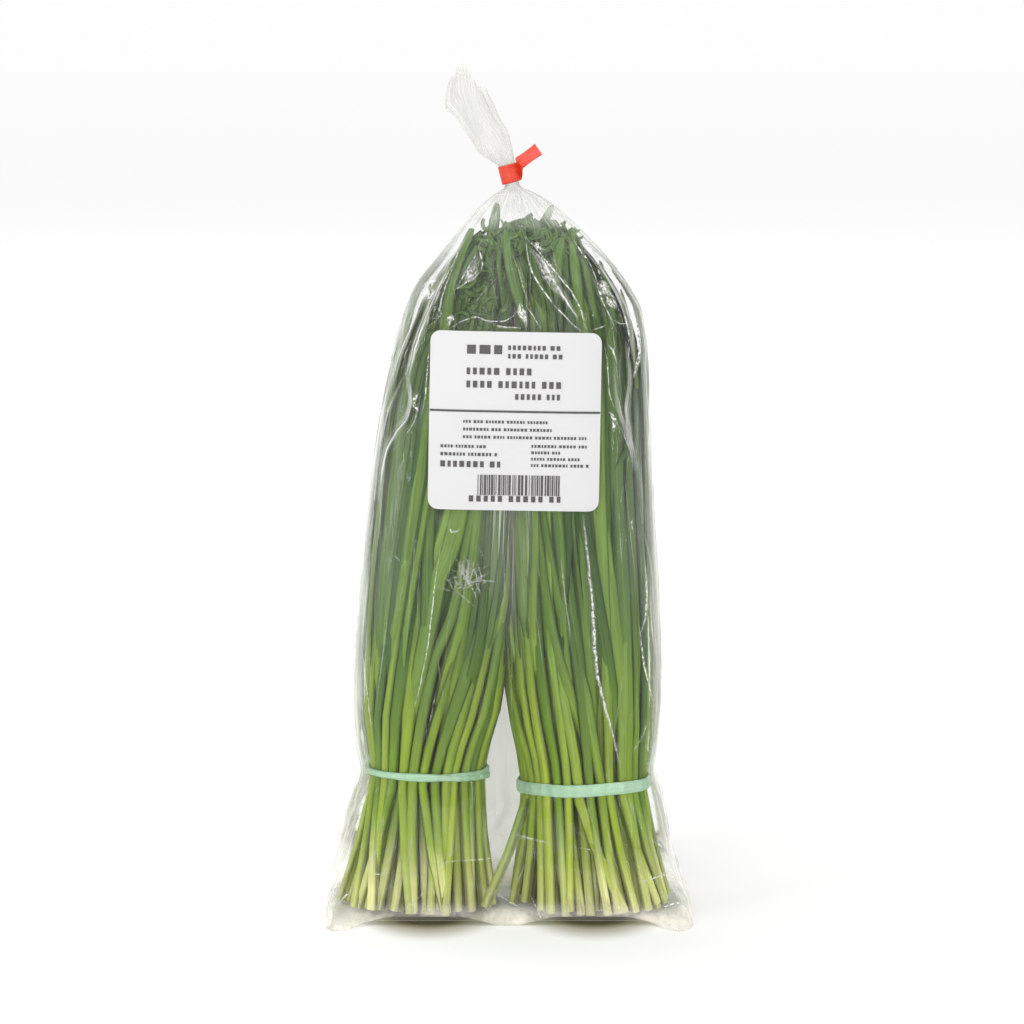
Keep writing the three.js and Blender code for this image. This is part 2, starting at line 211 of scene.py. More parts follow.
def bag_front(x, z):
    """Depth of the bag's smooth front."""
    left, right, half_depth, squareness = BAG.at(z)
    across = np.clip(np.abs(x - (left + right) / 2) / ((right - left) / 2), 0, 1)
    return -half_depth * (1 - across**squareness) ** (1 / squareness)


# --- meshes ----------------------------------------------------------------------------------------


def link(name, mesh):
    """A piece in the scene with the mesh given."""
    piece = bpy.data.objects.new(name, mesh)
    bpy.context.scene.collection.objects.link(piece)
    return piece


def mesh_of(shape, name):
    """A bmesh made a mesh, after which the bmesh is gone."""
    mesh = bpy.data.meshes.new(name)
    shape.to_mesh(mesh)
    shape.free()
    return mesh


def corners_of(mesh):
    """The corners' places, in the mesh's own order."""
    flat = np.empty(len(mesh.vertices) * 3, np.float32)
    mesh.vertices.foreach_get("co", flat)
    return flat.reshape(-1, 3).astype(float)


def put_corners(mesh, millimetres):
    """Moves a mesh's corners to places given in millimetres, in the mesh's own order."""
    mesh.vertices.foreach_set("co", (np.asarray(millimetres, float).reshape(-1) * MM).astype(np.float32))
    mesh.update()


def mark(mesh, name, values):
    """Writes one number, or three, for every corner of a mesh."""
    values = np.asarray(values, np.float32)
    kind, key = ("FLOAT_VECTOR", "vector") if values.ndim > 1 else ("FLOAT", "value")
    mesh.attributes.new(name, kind, "POINT").data.foreach_set(key, values.reshape(-1))


def smooth(mesh, sharp_degrees):
    """Smooth shading that breaks where faces meet more sharply than the angle given."""
    mesh.shade_smooth()
    mesh.set_sharp_from_angle(angle=math.radians(sharp_degrees))


def tube(name, sides, rings):
    """A closed tube of radius 1 whose corners stand at the heights 0, 1, 2 and so on."""
    shape = bmesh.new()
    steps = rings - 1
    bmesh.ops.create_cone(shape, cap_ends=True, segments=sides, radius1=1, radius2=1, depth=steps)
    upright = [e for e in shape.edges if abs(e.verts[0].co.z - e.verts[1].co.z) > steps / 2]
    bmesh.ops.subdivide_edges(shape, edges=upright, cuts=steps - 1, use_grid_fill=True)
    bmesh.ops.translate(shape, verts=shape.verts, vec=(0, 0, steps / 2))
    return mesh_of(shape, name)


def copies(name, template, count):
    """One mesh of many copies of a template, with each copy's corners in the template's order."""
    one = link(name, template)
    array = one.modifiers.new("copies", "ARRAY")
    array.count = count
    array.use_relative_offset = False
    array.use_constant_offset = True
    array.constant_offset_displace = (3, 0, 0)
    joined = bpy.data.meshes.new_from_object(one.evaluated_get(bpy.context.evaluated_depsgraph_get()))
    bpy.data.objects.remove(one)
    joined.name = name
    return joined


# --- finishes --------------------------------------------------------------------------------------


def colour(red, green, blue):
    """A colour of 0 to 255 as the shader's own numbers."""
    shares = np.array([red, green, blue]) / 255
    linear = np.where(shares <= 0.04045, shares / 12.92, ((shares + 0.055) / 1.055) ** 2.4)
    return (*(float(share) for share in linear), 1.0)


class Socket:
    """A node's output that can be written in sums."""

    def __init__(self, finish, socket):
        self.finish = finish
        self.socket = socket

    def __add__(self, other):
        return self.finish.maths("ADD", self, other)

    __radd__ = __add__

    def __sub__(self, other):
        return self.finish.maths("SUBTRACT", self, other)

    def __rsub__(self, other):
        return self.finish.maths("SUBTRACT", other, self)

    def __mul__(self, other):
        return self.finish.maths("MULTIPLY", self, other)

    __rmul__ = __mul__

    def __truediv__(self, other):
        return self.finish.maths("DIVIDE", self, other)

    def __pow__(self, other):
        return self.finish.maths("POWER", self, other)

    def largest(self, other):
        """The larger of the two values."""
        return self.finish.maths("MAXIMUM", self, other)

    def smallest(self, other):
        """The smaller of the two values."""
        return self.finish.maths("MINIMUM", self, other)

    def distance(self):
        """How far the value is from 0."""
        return self.finish.maths("ABSOLUTE", self, 0.0)

    def between(self, low, high):
        """0 below low, 1 above high and a smooth step from one to the other."""
        inputs = {"Value": self, "From Min": low, "From Max": high}
        return self.finish.node("ShaderNodeMapRange", {"interpolation_type": "SMOOTHSTEP"}, inputs)


class Finish:
    """The nodes of one material."""

    def __init__(self, name):
        self.material = bpy.data.materials.new(name)
        self.material.use_nodes = True
        self.tree = self.material.node_tree
        self.tree.nodes.clear()

    def node(self, kind, settings=None, inputs=None, output=0):
        """Adds a node, with its settings first and then its sockets' values or links."""
        made = self.tree.nodes.new(kind)
        for key, value in (settings or {}).items():
            setattr(made, key, value)
        for key, value in (inputs or {}).items():
            if isinstance(value, Socket):
                self.tree.links.new(value.socket, made.inputs[key])
            else:
                made.inputs[key].default_value = value
        return Socket(self, made.outputs[output])

    def attribute(self, name, output="Fac"):
        return self.node("ShaderNodeAttribute", {"attribute_name": name}, output=output)

    def place(self):
        return self.node("ShaderNodeTexCoord", output="Object")

    def stretched(self, vector, scale):
        return self.node("ShaderNodeMapping", {}, {"Vector": vector, "Scale": scale})

    def noise(self, vector, scale, detail=2.0, roughness=0.5):
        inputs = {"Vector": vector, "Scale": scale, "Detail": detail, "Roughness": roughness}
        return self.node("ShaderNodeTexNoise", {}, inputs)

    def maths(self, operation, first, second):
        return self.node("ShaderNodeMath", {"operation": operation}, {0: first, 1: second})

    def vector_length(self, vector):
        return self.node("ShaderNodeVectorMath", {"operation": "LENGTH"}, {0: vector}, output="Value")

    def part(self, vector, name):
        return self.node("ShaderNodeSeparateXYZ", {}, {0: vector}, output=name)

    def mix(self, share, first, second, blend="MIX"):
        settings = {"data_type": "RGBA", "blend_type": blend}
        return self.node("ShaderNodeMix", settings, {0: share, 6: first, 7: second}, output=2)

    def mix_shaders(self, share, first, second):
        return self.node("ShaderNodeMixShader", {}, {0: share, 1: first, 2: second})

    def bump(self, height, strength, distance):
        inputs = {"Height": height, "Strength": strength, "Distance": distance}
        return self.node("ShaderNodeBump", {}, inputs)

    def principled(self, inputs):
        return self.node("ShaderNodeBsdfPrincipled", {}, inputs)

    def done(self, surface):
        out = self.tree.nodes.new("ShaderNodeOutputMaterial")
        self.tree.links.new(surface.socket, out.inputs["Surface"])
        return self.material


def finish_chives(settings):
    """Leaf and stem: pale at the cut, yellow-green below the band and deeper green towards the tip."""
    finish = Finish("chive_green")
    height = finish.part(finish.place(), "Z") * (1 / MM)
    grain = finish.attribute("grain", "Vector")
    tint = finish.attribute("tint")
    pale = finish.attribute("pale")
    across = finish.attribute("across")
    wander = finish.noise(finish.place(), 14.0) * 40.0 - 20.0 + pale * 50.0 - 25.0
    level = height + wander
    stem = finish.mix(tint, settings.stem_colour[:], settings.stem_pale_colour[:])
    blade = finish.mix(tint, settings.leaf_dark_colour[:], settings.leaf_colour[:])
    green = finish.mix(level.between(30.0, 150.0), stem, blade)
    green = finish.mix(level.between(170.0, 320.0) * 0.5, green, settings.leaf_dark_colour[:])
    base = (1 - (height + tint * 24.0 - 12.0).between(0.0, 40.0)) * (0.4 + pale**0.6 * 0.6)
    green = finish.mix(base, green, settings.cut_colour[:])
    fibres = finish.noise(finish.stretched(grain, (2.4, 0.02, 1.0)), 1.0, 3.0, 0.6)
    fine = finish.noise(finish.stretched(grain, (7.0, 0.05, 1.0)), 1.0, 2.0)
    patches = finish.noise(finish.stretched(grain, (0.3, 0.05, 1.0)), 1.0, 2.0)
    # painted shade: strands deep inside a bunch are darkened by how open they lie, less so near the cut
    # ends
    lit = finish.attribute("open").largest((1 - height.between(8.0, 50.0)) * 0.7)
    shade = fibres * 0.9 + fine * 0.55 + patches * 0.45 + 0.03
    # painted shade: each leaf darkens towards its edges
    shade = shade * (1 - across.distance().between(0.68, 1.0) * 0.62) * (0.47 + lit * 0.53)
    grey = finish.node("ShaderNodeCombineColor", {}, {0: shade, 1: shade, 2: shade})
    green = finish.mix(1.0, green, grey, "MULTIPLY")
    # painted highlight: a light line down the middle of each leaf
    middle_highlight = (1 - across.distance().between(0.0, 0.14)) * height.between(90.0, 150.0)
    green = finish.mix(middle_highlight * 0.22, green, settings.middle_highlight_colour[:])
    dried = finish.noise(finish.stretched(grain, (0.5, 0.12, 1.0)), 1.0, 2.0).between(0.6, 0.7)
    dried = dried * (1 - height.between(3.0, 14.0)) * pale
    green = finish.mix(dried * 0.75, green, settings.dry_colour[:])
    normal = finish.bump(fibres * 0.7 + fine * 0.3, 0.4, 0.0005)
    surface = finish.principled(
        {
            "Base Color": green,
            "Roughness": 0.4 + fibres * 0.16,
            "Normal": normal,
            "Specular IOR Level": 0.3,
            "Subsurface Weight": 0.08,
            "Subsurface Radius": (0.6, 1.0, 0.25),
            "Subsurface Scale": 0.001,
        }
    )
    return finish.done(surface)


def finish_rubber(settings):
    """Satin rubber with a few fine lines along the stretch."""
    finish = Finish("mint_rubber")
    grain = finish.attribute("grain", "Vector")
    lines = finish.noise(finish.stretched(grain, (0.02, 1.6, 1.6)), 1.0, 3.0, 0.6)
    blotch = finish.noise(finish.place(), 60.0, 2.0)
    tone = finish.mix(lines.between(0.3, 0.75), settings.band_shade[:], settings.band_colour[:])
    tone = finish.mix(blotch.between(0.45, 0.8) * 0.35, tone, settings.band_light[:])
    surface = finish.principled(
        {
            "Base Color": tone,
            "Roughness": 0.42 + lines * 0.2,
            "Normal": finish.bump(lines, 0.5, 0.0003),
        }
    )
    return finish.done(surface)


def film_surface(finish, settings, normal, haze, mirroring, tone):
    """Clear film that mirrors more at a glance, and is milky where haze says, in the tone given; the milky
    part glows by itself as painted light.
    """
    mirror = finish.node("ShaderNodeFresnel", {}, {"IOR": settings.film_ior, "Normal": normal}) * mirroring
    clear = finish.node("ShaderNodeBsdfTransparent", {}, {"Color": (0.985, 0.99, 0.985, 1)})
    gloss = finish.principled(
        {
            "Base Color": (1, 1, 1, 1),
            "Metallic": 1.0,
            "Roughness": settings.film_roughness,
            "Normal": normal,
        }
    )
    milk = finish.principled(
        {
            "Base Color": tone,
            "Roughness": 0.35,
            "Normal": normal,
            "Specular IOR Level": 0.3,
            # painted light: the milky part glows by itself
            "Emission Color": tone,
            "Emission Strength": settings.painted_glow,
        }
    )
    return finish.mix_shaders(haze, finish.mix_shaders(mirror, clear, gloss), milk)


def finish_film(settings):
    """The bag's film, milkier where it hangs loose and where it is creased, with painted shade along its
    fine folds and behind the gap between the bunches.
    """
    finish = Finish("clear_film")
    place = finish.place()
    along = finish.attribute("along", "Vector")
    crease = finish.attribute("crease")
    loose = finish.attribute("loose")
    fold = finish.noise(finish.stretched(place, (1.0, 1.0, 0.2)), 210.0, 3.0, 0.6)
    crinkle = finish.noise(finish.stretched(place, (1.0, 1.0, 0.5)), 620.0, 2.0, 0.6)
    streak = finish.noise(finish.stretched(place, (1.0, 1.0, 0.07)), 170.0, 3.0, 0.6)
    height = finish.part(place, "Z") * (1 / MM)
    calm = 1 - height.between(NECK_TOP, NECK_TOP + 8) * 0.75
    normal = finish.bump((fold * 0.5 + crinkle * 0.2) * calm, settings.crinkle, 0.001)
    threads = finish.noise(finish.stretched(along, (0.75, 0.012, 1.0)), 1.0, 3.0, 0.7)
    hanging = loose * (0.35 + streak.between(0.35, 0.75)) * settings.loose_haze
    hanging = hanging + loose.between(0.04, 0.34) * threads.between(0.56, 0.64) * settings.thread_haze
    base = finish.attribute("base")
    rumple = finish.noise(place, 90.0, 3.0, 0.6).between(0.3, 0.7)
    top = height.between(284.0, 308.0)
    glance = finish.node("ShaderNodeLayerWeight", {}, {"Blend": 0.5, "Normal": normal}, output="Facing")
    edge = glance**4.0 * (1 - base) * (1 - top * 0.5) * settings.edge_haze
    haze = settings.haze + edge + hanging + crease * settings.crease_haze
    # painted shade: the film behind the gap between the bunches is darker and milkier
    gap_shade = finish.attribute("gap_shade")
    haze = haze + base * (0.2 + rumple * 0.4) + gap_shade * settings.gap_shade_haze
    # painted shade: the milky part is greyed along fine folds
    lines = finish.noise(finish.stretched(along, (1.3, 0.02, 1.0)), 1.0, 3.0, 0.65)
    fold_shade = crease.smallest(1.0) * (0.3 + lines.between(0.4, 0.6) * 0.7)
    tone = finish.mix(fold_shade, settings.film_colour[:], settings.film_fold_shade[:])
    tone = finish.mix(base, tone, settings.film_base[:])
    tone = finish.mix(gap_shade, tone, settings.film_gap_shade[:])
    mirroring = (1 - base.between(0.0, 0.04) * 0.85) * (1 - top * 0.75)
    return finish.done(film_surface(finish, settings, normal, haze, mirroring, tone))


def finish_crease_highlight(settings):
    """A sharp crease of the film: whitened along its ridge and broken up into sparkles, partly the film's
    own whitening and partly painted highlight.
    """
    finish = Finish("crease_highlight_film")
    grain = finish.attribute("grain", "Vector")
    across = finish.attribute("across")
    strength = finish.attribute("strength")
    fill = finish.attribute("fill")
    sparkle = finish.noise(finish.stretched(grain, (1.5, 0.75, 1.0)), 1.0, 3.0, 0.7)
    drift = finish.noise(finish.stretched(grain, (0.2, 0.16, 1.0)), 1.0, 2.0)
    streak = finish.attribute("streak")
    ragged = finish.noise(finish.stretched(grain, (1.3, 0.9, 1.0)), 1.0, 3.0, 0.75)
    threads = finish.noise(finish.stretched(grain, (1.5, 0.03, 1.0)), 1.0, 3.0, 0.7)
    off = (across + (drift * 0.9 + ragged * 0.8 - 0.85) * (1 - fill)).distance()
    ridge = 1 - off.between(fill * 0.45 + 0.02, fill * 0.5 + 0.5)
    broken = sparkle.between(0.43, 0.57) * drift.between(0.2, 0.42) * (1 - streak)
    # painted highlight: the whitened crease lines stand in part for glints
    white = ridge * (broken + threads.between(0.38, 0.68) * streak) * strength
    normal = finish.bump(sparkle, 0.9, 0.0008)
    return finish.done(film_surface(finish, settings, normal, white * 1.1, 1.0, settings.film_colour[:]))


def finish_paper(settings):
    """Matt white paper with a soft cloudiness."""
    finish = Finish("label_paper")
    place = finish.place()
    speckle = finish.noise(place, 900.0, 3.0, 0.6)
    cloud = finish.noise(place, 30.0, 2.0)
    tone = finish.mix(cloud.between(0.3, 0.8) * 0.5, settings.paper_colour[:], settings.paper_shade[:])
    inputs = {
        "Base Color": tone,
        "Roughness": 0.4 + speckle * 0.15,
        "Normal": finish.bump(speckle, 0.08, 0.0002),
    }
    return finish.done(finish.principled(inputs))


def finish_ink(settings):
    """Dark ink, worn thin in places."""
    finish = Finish("label_ink")
    wear = finish.noise(finish.place(), 1500.0, 2.0)
    tone = finish.mix(wear.between(0.45, 0.8) * 0.5, settings.ink_colour[:], settings.ink_worn[:])
    return finish.done(finish.principled({"Base Color": tone, "Roughness": 0.45 + wear * 0.1}))


def finish_tape(settings):
    """Glossy tape with fine lines along it."""
    finish = Finish("vermilion_tape")
    grain = finish.attribute("grain", "Vector")
    lines = finish.noise(finish.stretched(grain, (0.15, 1.2, 1.0)), 1.0, 3.0, 0.6)
    tone = finish.mix(lines.between(0.35, 0.75), settings.tape_colour[:], settings.tape_light[:])
    inputs = {
        "Base Color": tone,
        "Roughness": 0.3 + lines * 0.2,
        "Normal": finish.bump(lines, 0.3, 0.0003),
    }
    return finish.done(finish.principled(inputs))


# --- settings --------------------------------------------------------------------------------------


def a_length(name, description, default):
    return bpy.props.FloatProperty(
        name=name, description=description, default=default, min=0, unit="LENGTH", precision=5
    )


def a_place(name, description, default):
    return bpy.props.FloatProperty(name=name, description=description, default=default, unit="LENGTH")


def an_angle(name, description, default):
    return bpy.props.FloatProperty(name=name, description=description, default=default, subtype="ANGLE")


def a_share(name, description, default):
    return bpy.props.FloatProperty(
        name=name, description=description, default=default, min=0, max=2, subtype="FACTOR"
    )


def a_power(name, description, default):
    return bpy.props.FloatProperty(name=name, description=description, default=default, min=0, unit="POWER")


def a_count(name, description, default):
    return bpy.props.IntProperty(name=name, description=description, default=default, min=40)


def a_tone(name, description, red, green, blue):
    return bpy.props.FloatVectorProperty(
        name=name,
        description=description,
        default=colour(red, green, blue),
        size=4,
        min=0,
        max=1,
        subtype="COLOR",
    )


class ChiveSettings(bpy.types.PropertyGroup):
    """Sizes and colours of the stalks and leaves."""

    stem_width: a_length("Stem width", "Width of a stalk at its cut end", 0.0049)
    stem_depth: a_length("Stem depth", "Depth of a stalk at its cut end", 0.0045)
    leaf_width: a_length("Leaf width", "Width of a flat leaf at its widest", 0.0074)
    leaf_depth: a_length("Leaf thickness", "Thickness of a flat leaf along its middle", 0.0011)
    stalk_pitch: a_length("Stalk pitch", "From one stalk to the next where the band squeezes them", 0.00475)
    stem_colour: a_tone("Stem", "Fresh green of the stalks below the band", 116, 155, 14)
    stem_pale_colour: a_tone("Pale stem", "The palest stalks below the band", 184, 202, 58)
    leaf_colour: a_tone("Leaf", "Lit green of the flat leaves", 138, 170, 74)
    leaf_dark_colour: a_tone("Dark leaf", "Deep green towards the tips", 58, 92, 38)
    # painted highlight along the middle of each leaf
    middle_highlight_colour: a_tone("Rib", "Light line along the middle of a leaf", 150, 184, 100)
    cut_colour: a_tone("Cut end", "Cream of the cut ends", 255, 252, 178)
    dry_colour: a_tone("Dry rim", "Tan of dried sheaths at the cut ends", 168, 150, 98)


class TieSettings(bpy.types.PropertyGroup):
    """Sizes and colours of the rubber bands and of the tape."""

    band_wall: a_length("Band thickness", "Thickness of a rubber band", 0.0008)
    band_colour: a_tone("Rubber", "Colour of the rubber bands", 204, 238, 212)
    band_shade: a_tone("Rubber shade", "Colour along the fine lines of the bands", 178, 222, 190)
    band_light: a_tone("Rubber bloom", "Powdery light patches on the bands", 214, 238, 220)
    tape_width: a_length("Tape width", "Width of the strip of tape", 0.0082)
    tape_wall: a_length("Tape thickness", "Thickness of the strip of tape", 0.00025)
    tape_colour: a_tone("Tape", "Colour of the tape", 206, 40, 14)
    tape_light: a_tone("Light tape", "Colour of the tape's light streaks", 218, 72, 40)


class FilmSettings(bpy.types.PropertyGroup):
    """Shape and look of the film bag."""

    around: a_count("Around", "Faces around the bag", 320)
    up_side: a_count("Up the side", "Faces up the bag's side", 236)
    film_colour: a_tone("Film", "Colour of the film's milky part", 250, 250, 246)
    # painted shade along the film's fine folds
    film_fold_shade: a_tone("Folded film", "Colour of the milky part along fine folds", 166, 164, 160)
    film_base: a_tone("Film at the base", "Colour of the milky part round the base", 252, 243, 230)
    # painted shade of the film behind the bunches' gap
    film_gap_shade: a_tone("Dim film", "Colour of the milky part behind the bunches' gap", 224, 220, 208)
    haze: a_share("Haze", "How milky the flat film is", 0.012)
    # painted shade: extra milkiness behind the bunches' gap
    gap_shade_haze: a_share("Dim haze", "How much milkier the film is behind the gap between the bunches", 0.55)
    edge_haze: a_share("Edge haze", "How much milkier the film is at a glance", 0.5)
    thread_haze: a_share("Thread haze", "How milky the fine long lines in loose film are", 0.26)
    crease_haze: a_share("Crease haze", "How much milkier a crease is", 0.16)
    loose_haze: a_share("Loose haze", "How much milkier the film is where it hangs loose", 0.34)
    # painted light: how strongly the milky film glows by itself
    painted_glow: a_share("Glow", "Light that the milky part gathers from all round", 0.2)
    crinkle: a_share("Crinkle", "Strength of the finest crinkles", 0.3)
    film_roughness: a_share("Roughness", "Roughness of the film's gloss", 0.07)
    film_ior: bpy.props.FloatProperty(name="IOR", description="Index of refraction", default=1.24)


class LabelSettings(bpy.types.PropertyGroup):
    """Size, place and colours of the label."""

    width: a_length("Width", "Width of the label", 0.076)
    height: a_length("Height", "Height of the label", 0.079)
    across: a_place("Across", "Its middle's place across", 0.0028)
    up: a_length("Up", "Height of its middle", 0.227)
    corner: a_length("Corner", "Radius of its corners", 0.0046)
    turn: an_angle("Turn", "How far it leans", -0.018)
    paper_colour: a_tone("Paper", "Colour of the paper", 207, 207, 207)
    paper_shade: a_tone("Paper shade", "Shaded colour of the paper", 201, 201, 202)
    ink_colour: a_tone("Ink", "Colour of the print", 66, 62, 64)
    ink_worn: a_tone("Worn ink", "Colour of the print where it is thin", 112, 108, 110)


class StageSettings(bpy.types.PropertyGroup):
    """Where the camera stands and how bright the studio is."""

    distance: a_length("Distance", "From the camera to the bag", 1.6)
    elevation: an_angle("Elevation", "Angle of the camera above the floor", math.radians(7.5))
    view_width: a_length("View width", "Width that the camera takes in at the bag", 0.4654)
    aim_across: a_length("Aim across", "Where the middle of the view is, across", 0.0016)
    aim_up: a_length("Aim up", "Height of the middle of the view", 0.182)
    surround: a_share("Surround", "How much light the white surround gives", 0.42)
    key: a_power("Key light", "Power of the key light", 112)
    front: a_power("Front light", "Power of the front light", 25)
    rim: a_power("Strip lights", "Power of each strip light", 3)


class ChiveBagSettings(bpy.types.PropertyGroup):
    """All the settings of the bagged chives."""

    chives: bpy.props.PointerProperty(type=ChiveSettings)
    ties: bpy.props.PointerProperty(type=TieSettings)
    film: bpy.props.PointerProperty(type=FilmSettings)
    label: bpy.props.PointerProperty(type=LabelSettings)
    stage: bpy.props.PointerProperty(type=StageSettings)


# --- bunches ---------------------------------------------------------------------------------------

# Rings of stalks in a bunch: share of the outline, and how many extra leaves each stalk opens into.
STALK_RINGS = [(0.912, 2), (0.75, 2), (0.59, 2), (0.43, 1), (0.27, 1), (0.1, 0)]
SECTION_SIDES = 8  # corners round a strand
STALK_RISE = [0, 0.03, 0.5, 1]  # rings below the band, as shares of the way up to it
# Rings above the band, as shares of the way up to the tip.
LEAF_RISE = [
    0, 0.05, 0.11, 0.18, 0.26, 0.34, 0.42, 0.5, 0.58, 0.66,
    0.73, 0.79, 0.84, 0.88, 0.915, 0.945, 0.97, 0.988, 1,
]
FOLD_BEND = 13  # how far along a leaf its fold at the top takes
TOP_SECTION = 322  # height of the highest section that leaves are held in
STRAND_SHIFT = 7.3  # moves the grain's pattern on from one strand to the next
# Single leaves that show at the front: width against the others', how far behind the film, how light,
# and x and z of the points down along each from its tip.
FRONT_LEAVES = {
    "left": [
        (0.86, 2.6, 0.55,
         [(-16.5, 311), (-20.5, 302), (-24, 292.5), (-26.5, 282),
          (-28, 269.5), (-30.5, 254), (-33.5, 236.5)]),
        (0.85, 3, 0.35, [(-5, 322), (-6, 315.5), (-7.5, 306.5), (-8, 297)]),
        (0.8, 2.9, 0.5, [(-42, 284), (-44, 275), (-47, 263.5), (-51, 248.5), (-54.5, 229)]),
        (0.95, 3, 0.55, [(-0.5, 310.5), (0.5, 299.5), (3, 287.5), (6, 278), (10, 264)]),
        (0.6, 3.8, 0.2, [(-8, 309), (-8.5, 298.5), (-7, 286.5), (-6.5, 271.5)]),
        (0.6, 4.2, 0.05, [(-14, 303.5), (-20.5, 290.5), (-23, 278.5), (-22, 267)]),
        (0.55, 3.2, 0.45, [(-10, 288), (-11, 281), (-15, 277), (-19.5, 273.5), (-22.5, 267)]),
        (0.6, 3.6, 0.25, [(-3.5, 307), (-4, 297), (-2.5, 284.5), (-1, 269.5)]),
        (0.7, 4, 0.3, [(-35, 286), (-36, 277.5), (-37.5, 267), (-39.5, 253)]),
    ],
    "right": [
        (0.6, 2.4, 0.35, [(20, 320.5), (17, 316), (14, 310.5), (12.5, 304.5)]),
        (0.86, 3.2, 0.5, [(5.5, 310.5), (9, 299.5), (13, 287.5), (16.5, 277), (19, 265)]),
        (1.05, 2.6, 0.7, [(24.5, 306.5), (21.5, 294), (19.5, 282), (17.5, 267.5)]),
        (0.8, 2.6, 0.65, [(29, 311), (29.5, 299.5), (30.5, 287), (31, 276), (33, 263.5)]),
        (0.66, 3, 0.5, [(32.5, 305), (35.5, 290.5), (38, 277), (39.5, 263.5)]),
        (0.6, 4, 0.1, [(25.5, 304.5), (26, 290.5), (25.5, 277), (25, 265.5)]),
        (0.6, 3, 0.35, [(41, 296.5), (44.5, 284.5), (46.5, 272.5), (48, 258)]),
        (0.72, 2.6, 0.5, [(50.5, 284), (53.5, 273), (56, 260), (58, 240)]),
        (0.55, 4.2, 0.05, [(14, 304), (16, 292.5), (19.5, 280.5), (23, 267.5)]),
    ],
}
# Where short curled leaves lie crumpled together.
CRUMPLED = {
    "left": [
        {"count": 28, "x": (-10, 2), "z": (300, 312)},
        {"count": 14, "x": (-20, -10), "z": (273, 287)},
        {"count": 14, "x": (-13, -4), "z": (288, 306)},
    ],
    "right": [
        {"count": 72, "x": (-1, 20), "z": (301, 313)},
        {"count": 36, "x": (15, 29), "z": (299, 310)},
    ],
}
# Where the stalk that has slipped under its band ends, and at what angle the band holds it.
STRAY_STALK = {"x": -11, "y": -27.5, "foot": 4.7, "angle": math.pi * 1.1}


def ring_counts(bunch, pitch):
    """How many stalks stand in each ring, by how closely the band squeezes them."""
    _, half_width, half_depth = bunch["outline"].at(np.array(bunch["waist"]))
    return [max(3, int(math.pi * (half_width + half_depth) * share / pitch)) for share, _ in STALK_RINGS]


def strand_rows(bunch, pitch, random):
    """Rows of whether a strand is a stalk, its share, angle and ring, each stalk before its own leaves."""
    rows = []
    for ring, count in enumerate(ring_counts(bunch, pitch)):
        share, leaves = STALK_RINGS[ring]
        for i in range(count):
            angle = FULL_TURN * (i + ring * 0.5) / count + random.normal(0, 0.02)
            rows.append((True, share, angle, ring))
            rows += [(False, share, angle, ring)] * leaves
    return np.array(rows, float).T


def grow(bunch, settings):
    """Arrays with one entry for every strand of a bunch."""
    random = np.random.default_rng(bunch["seed"])
    stalk, share, angle, ring = strand_rows(bunch, settings.stalk_pitch / MM, random)
    stalk = stalk > 0
    count = len(stalk)
    front = np.clip(-np.sin(angle), 0, 1)
    outermost = ring < 1
    rounded = 0.4 + 2 * np.cos(angle) ** 2
    strands = {
        "stalk": stalk,
        "share": share,
        "angle": angle,
        "foot": np.where(
            stalk,
            LOWEST_CUT - 1
            + random.uniform(0, 2, count)
            + random.uniform(0.2, 3.4, count) * share**4 * rounded,
            bunch["waist"] + random.uniform(4, 40, count),
        ),
        "tip": TALLEST_TIP
        - random.uniform(0, 22, count)
        - np.abs(np.cos(angle)) * random.uniform(0, 16, count),
        "splay": np.where(outermost, random.uniform(-0.09, 0.045, count), random.uniform(-0.1, 0.1, count)),
        "splay_turn": random.normal(0, 0.17, count),
        "reach": np.where(outermost, random.uniform(-0.1, 0.06, count), random.uniform(-0.03, 0.2, count)),
        "drift": random.normal(0, 0.08, count) + np.where(stalk, 0, random.normal(0, 0.1, count)),
        "stray": random.normal(0, 0.2, count),
        "lean": bunch["lean"] * front * random.uniform(0.5, 1.3, count),
        "wave": random.uniform(0, FULL_TURN, (3, count)),
        "twist": random.normal(0, 0.34, count),
        "turn": random.normal(0, 0.4, count),
        "width": random.uniform(0.6, 1.25, count),
        "depth": random.uniform(0.78, 1.3, count),
        "keel": random.uniform(-0.1, 0.32, count),
        "fold": np.where(
            random.random(count) < 0.25, random.uniform(0.5, 1.8, count), random.uniform(0, 0.35, count)
        ),
        "fold_length": random.uniform(10, 42, count),
        "fold_way": random.uniform(0, FULL_TURN, count),
        "tint": random.random(count) ** 1.25,
        "pale": random.random(count),
        "blunt": np.zeros(count),
    }
    short = random.random(count) < 0.1
    strands["tip"] = np.where(short, strands["tip"] - random.uniform(10, 60, count), strands["tip"])
    return strands


